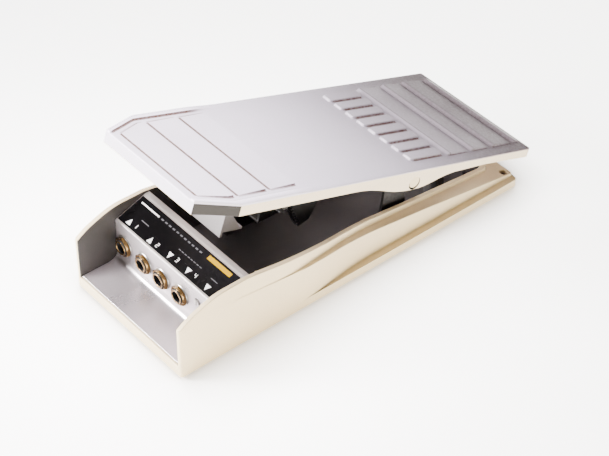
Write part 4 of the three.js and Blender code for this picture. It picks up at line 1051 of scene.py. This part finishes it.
# Each rubber foot has a shallow hollow under it and a rounded rim.
for node in ("foot_toe_left", "foot_toe_right", "foot_heel_left", "foot_heel_right"):
    low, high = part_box(node)
    radius, height = (high.x - low.x) / 2, high.z - low.z
    profile = [(0, 0.1 * MM), (3.6 * MM, 0.1 * MM), (4.0 * MM, 0), (5.2 * MM, 0)]
    profile += arc((radius - 0.7 * MM, 0.7 * MM), 0.7 * MM, -60, 0, 4) + [(radius, height), (0, height)]
    foot = new_piece(f"{node}_finished", lathe(profile, 56), FINISH["rubber"])
    foot.matrix_world = Matrix.Translation(((low.x + high.x) / 2, (low.y + high.y) / 2, low.z))
    settle(foot, node)

# The CAD nodes that nothing replaces keep their shape and get their slot's finish.
for node in BODY_OF:
    shown = frame["nodes"][node]
    if not shown.hide_render:
        shown.data.materials.clear()
        shown.data.materials.append(FINISH[SLOT_OF[node]])
        smooth(shown.data, 35)


# ---------------------------------------------------------------- floor, light and camera
FLOOR_COLOR = (0.93, 0.925, 0.92)
FLOOR_GLOW = (0.7, 5.6)  # emission under the object, and far from it
FLOOR_REACH = 0.05  # how far the object's contact shadow spreads


def add_floor():
    bm = bmesh.new()
    bmesh.ops.create_grid(bm, x_segments=1, y_segments=1, size=6)
    material, shader = blank_material("floor", FLOOR_COLOR, 0.0, 0.7)
    space = object_space(material)
    tone = spread(material, noise(material, space, 6.0, 3.0), 0.3, 0.7, 0.985, 1.01)
    link(material, blended(material, 1.0, FLOOR_COLOR, tone, "MULTIPLY"), shader.inputs["Base Color"])
    shader.inputs["Emission Color"].default_value = (1, 0.985, 0.96, 1)
    near = put(material, "ShaderNodeAmbientOcclusion", {"Distance": FLOOR_REACH}, samples=12).outputs["AO"]
    link(material, spread(material, near, 0.5, 0.97, *FLOOR_GLOW), shader.inputs["Emission Strength"])
    floor = new_piece("studio_floor", bm, material)
    floor.location = (0, 0, -0.05 * MM)


def add_light(name, location, target, size, power, color, spread_angle):
    data = bpy.data.lights.new(name, "AREA")
    data.shape = "RECTANGLE"
    data.size, data.size_y = size
    data.energy = power
    data.color = color
    data.spread = math.radians(spread_angle)
    lamp = add_object(name, data)
    lamp.location = location
    lamp.rotation_euler = (Vector(target) - Vector(location)).to_track_quat("-Z", "Y").to_euler()


def add_camera():
    position, target = Vector((0.6372, -0.5439, 0.7451)), Vector((-0.0093, 0.0037, -0.0053))
    roll = math.radians(0.47)
    forward = (target - position).normalized()
    level = forward.cross(Vector((0, 0, 1))).normalized()
    upright = level.cross(forward)
    right = level * math.cos(roll) + upright * math.sin(roll)
    up = upright * math.cos(roll) - level * math.sin(roll)
    data = bpy.data.cameras.new("camera")
    data.sensor_width = 36
    data.lens = 114.9
    data.clip_start = 0.01
    camera = add_object("camera", data)
    axes = Matrix((right, up, -forward)).transposed()
    camera.matrix_world = Matrix.Translation(position) @ axes.to_4x4()
    bpy.context.scene.camera = camera


def add_world():
    world = bpy.data.worlds.new("studio")
    world.use_nodes = True
    background = world.node_tree.nodes["Background"]
    background.inputs["Color"].default_value = (0.97, 0.98, 1.0, 1)
    background.inputs["Strength"].default_value = 0.15
    bpy.context.scene.world = world


add_floor()
add_world()
add_light("key", (-0.03, -0.08, 0.30), (0, -0.10, 0.08), (0.16, 0.16), 1.1, (1.0, 0.96, 1.0), 100)
add_light("front", (-0.34, -0.54, 0.27), (0, -0.11, 0.03), (0.22, 0.14), 3.0, (1.0, 0.99, 1.0), 70)
add_light("side_fill", (0.60, -0.22, 0.07), (0.03, -0.06, 0.03), (0.3, 0.1), 1.05, (1.0, 0.87, 0.62), 100)
add_camera()
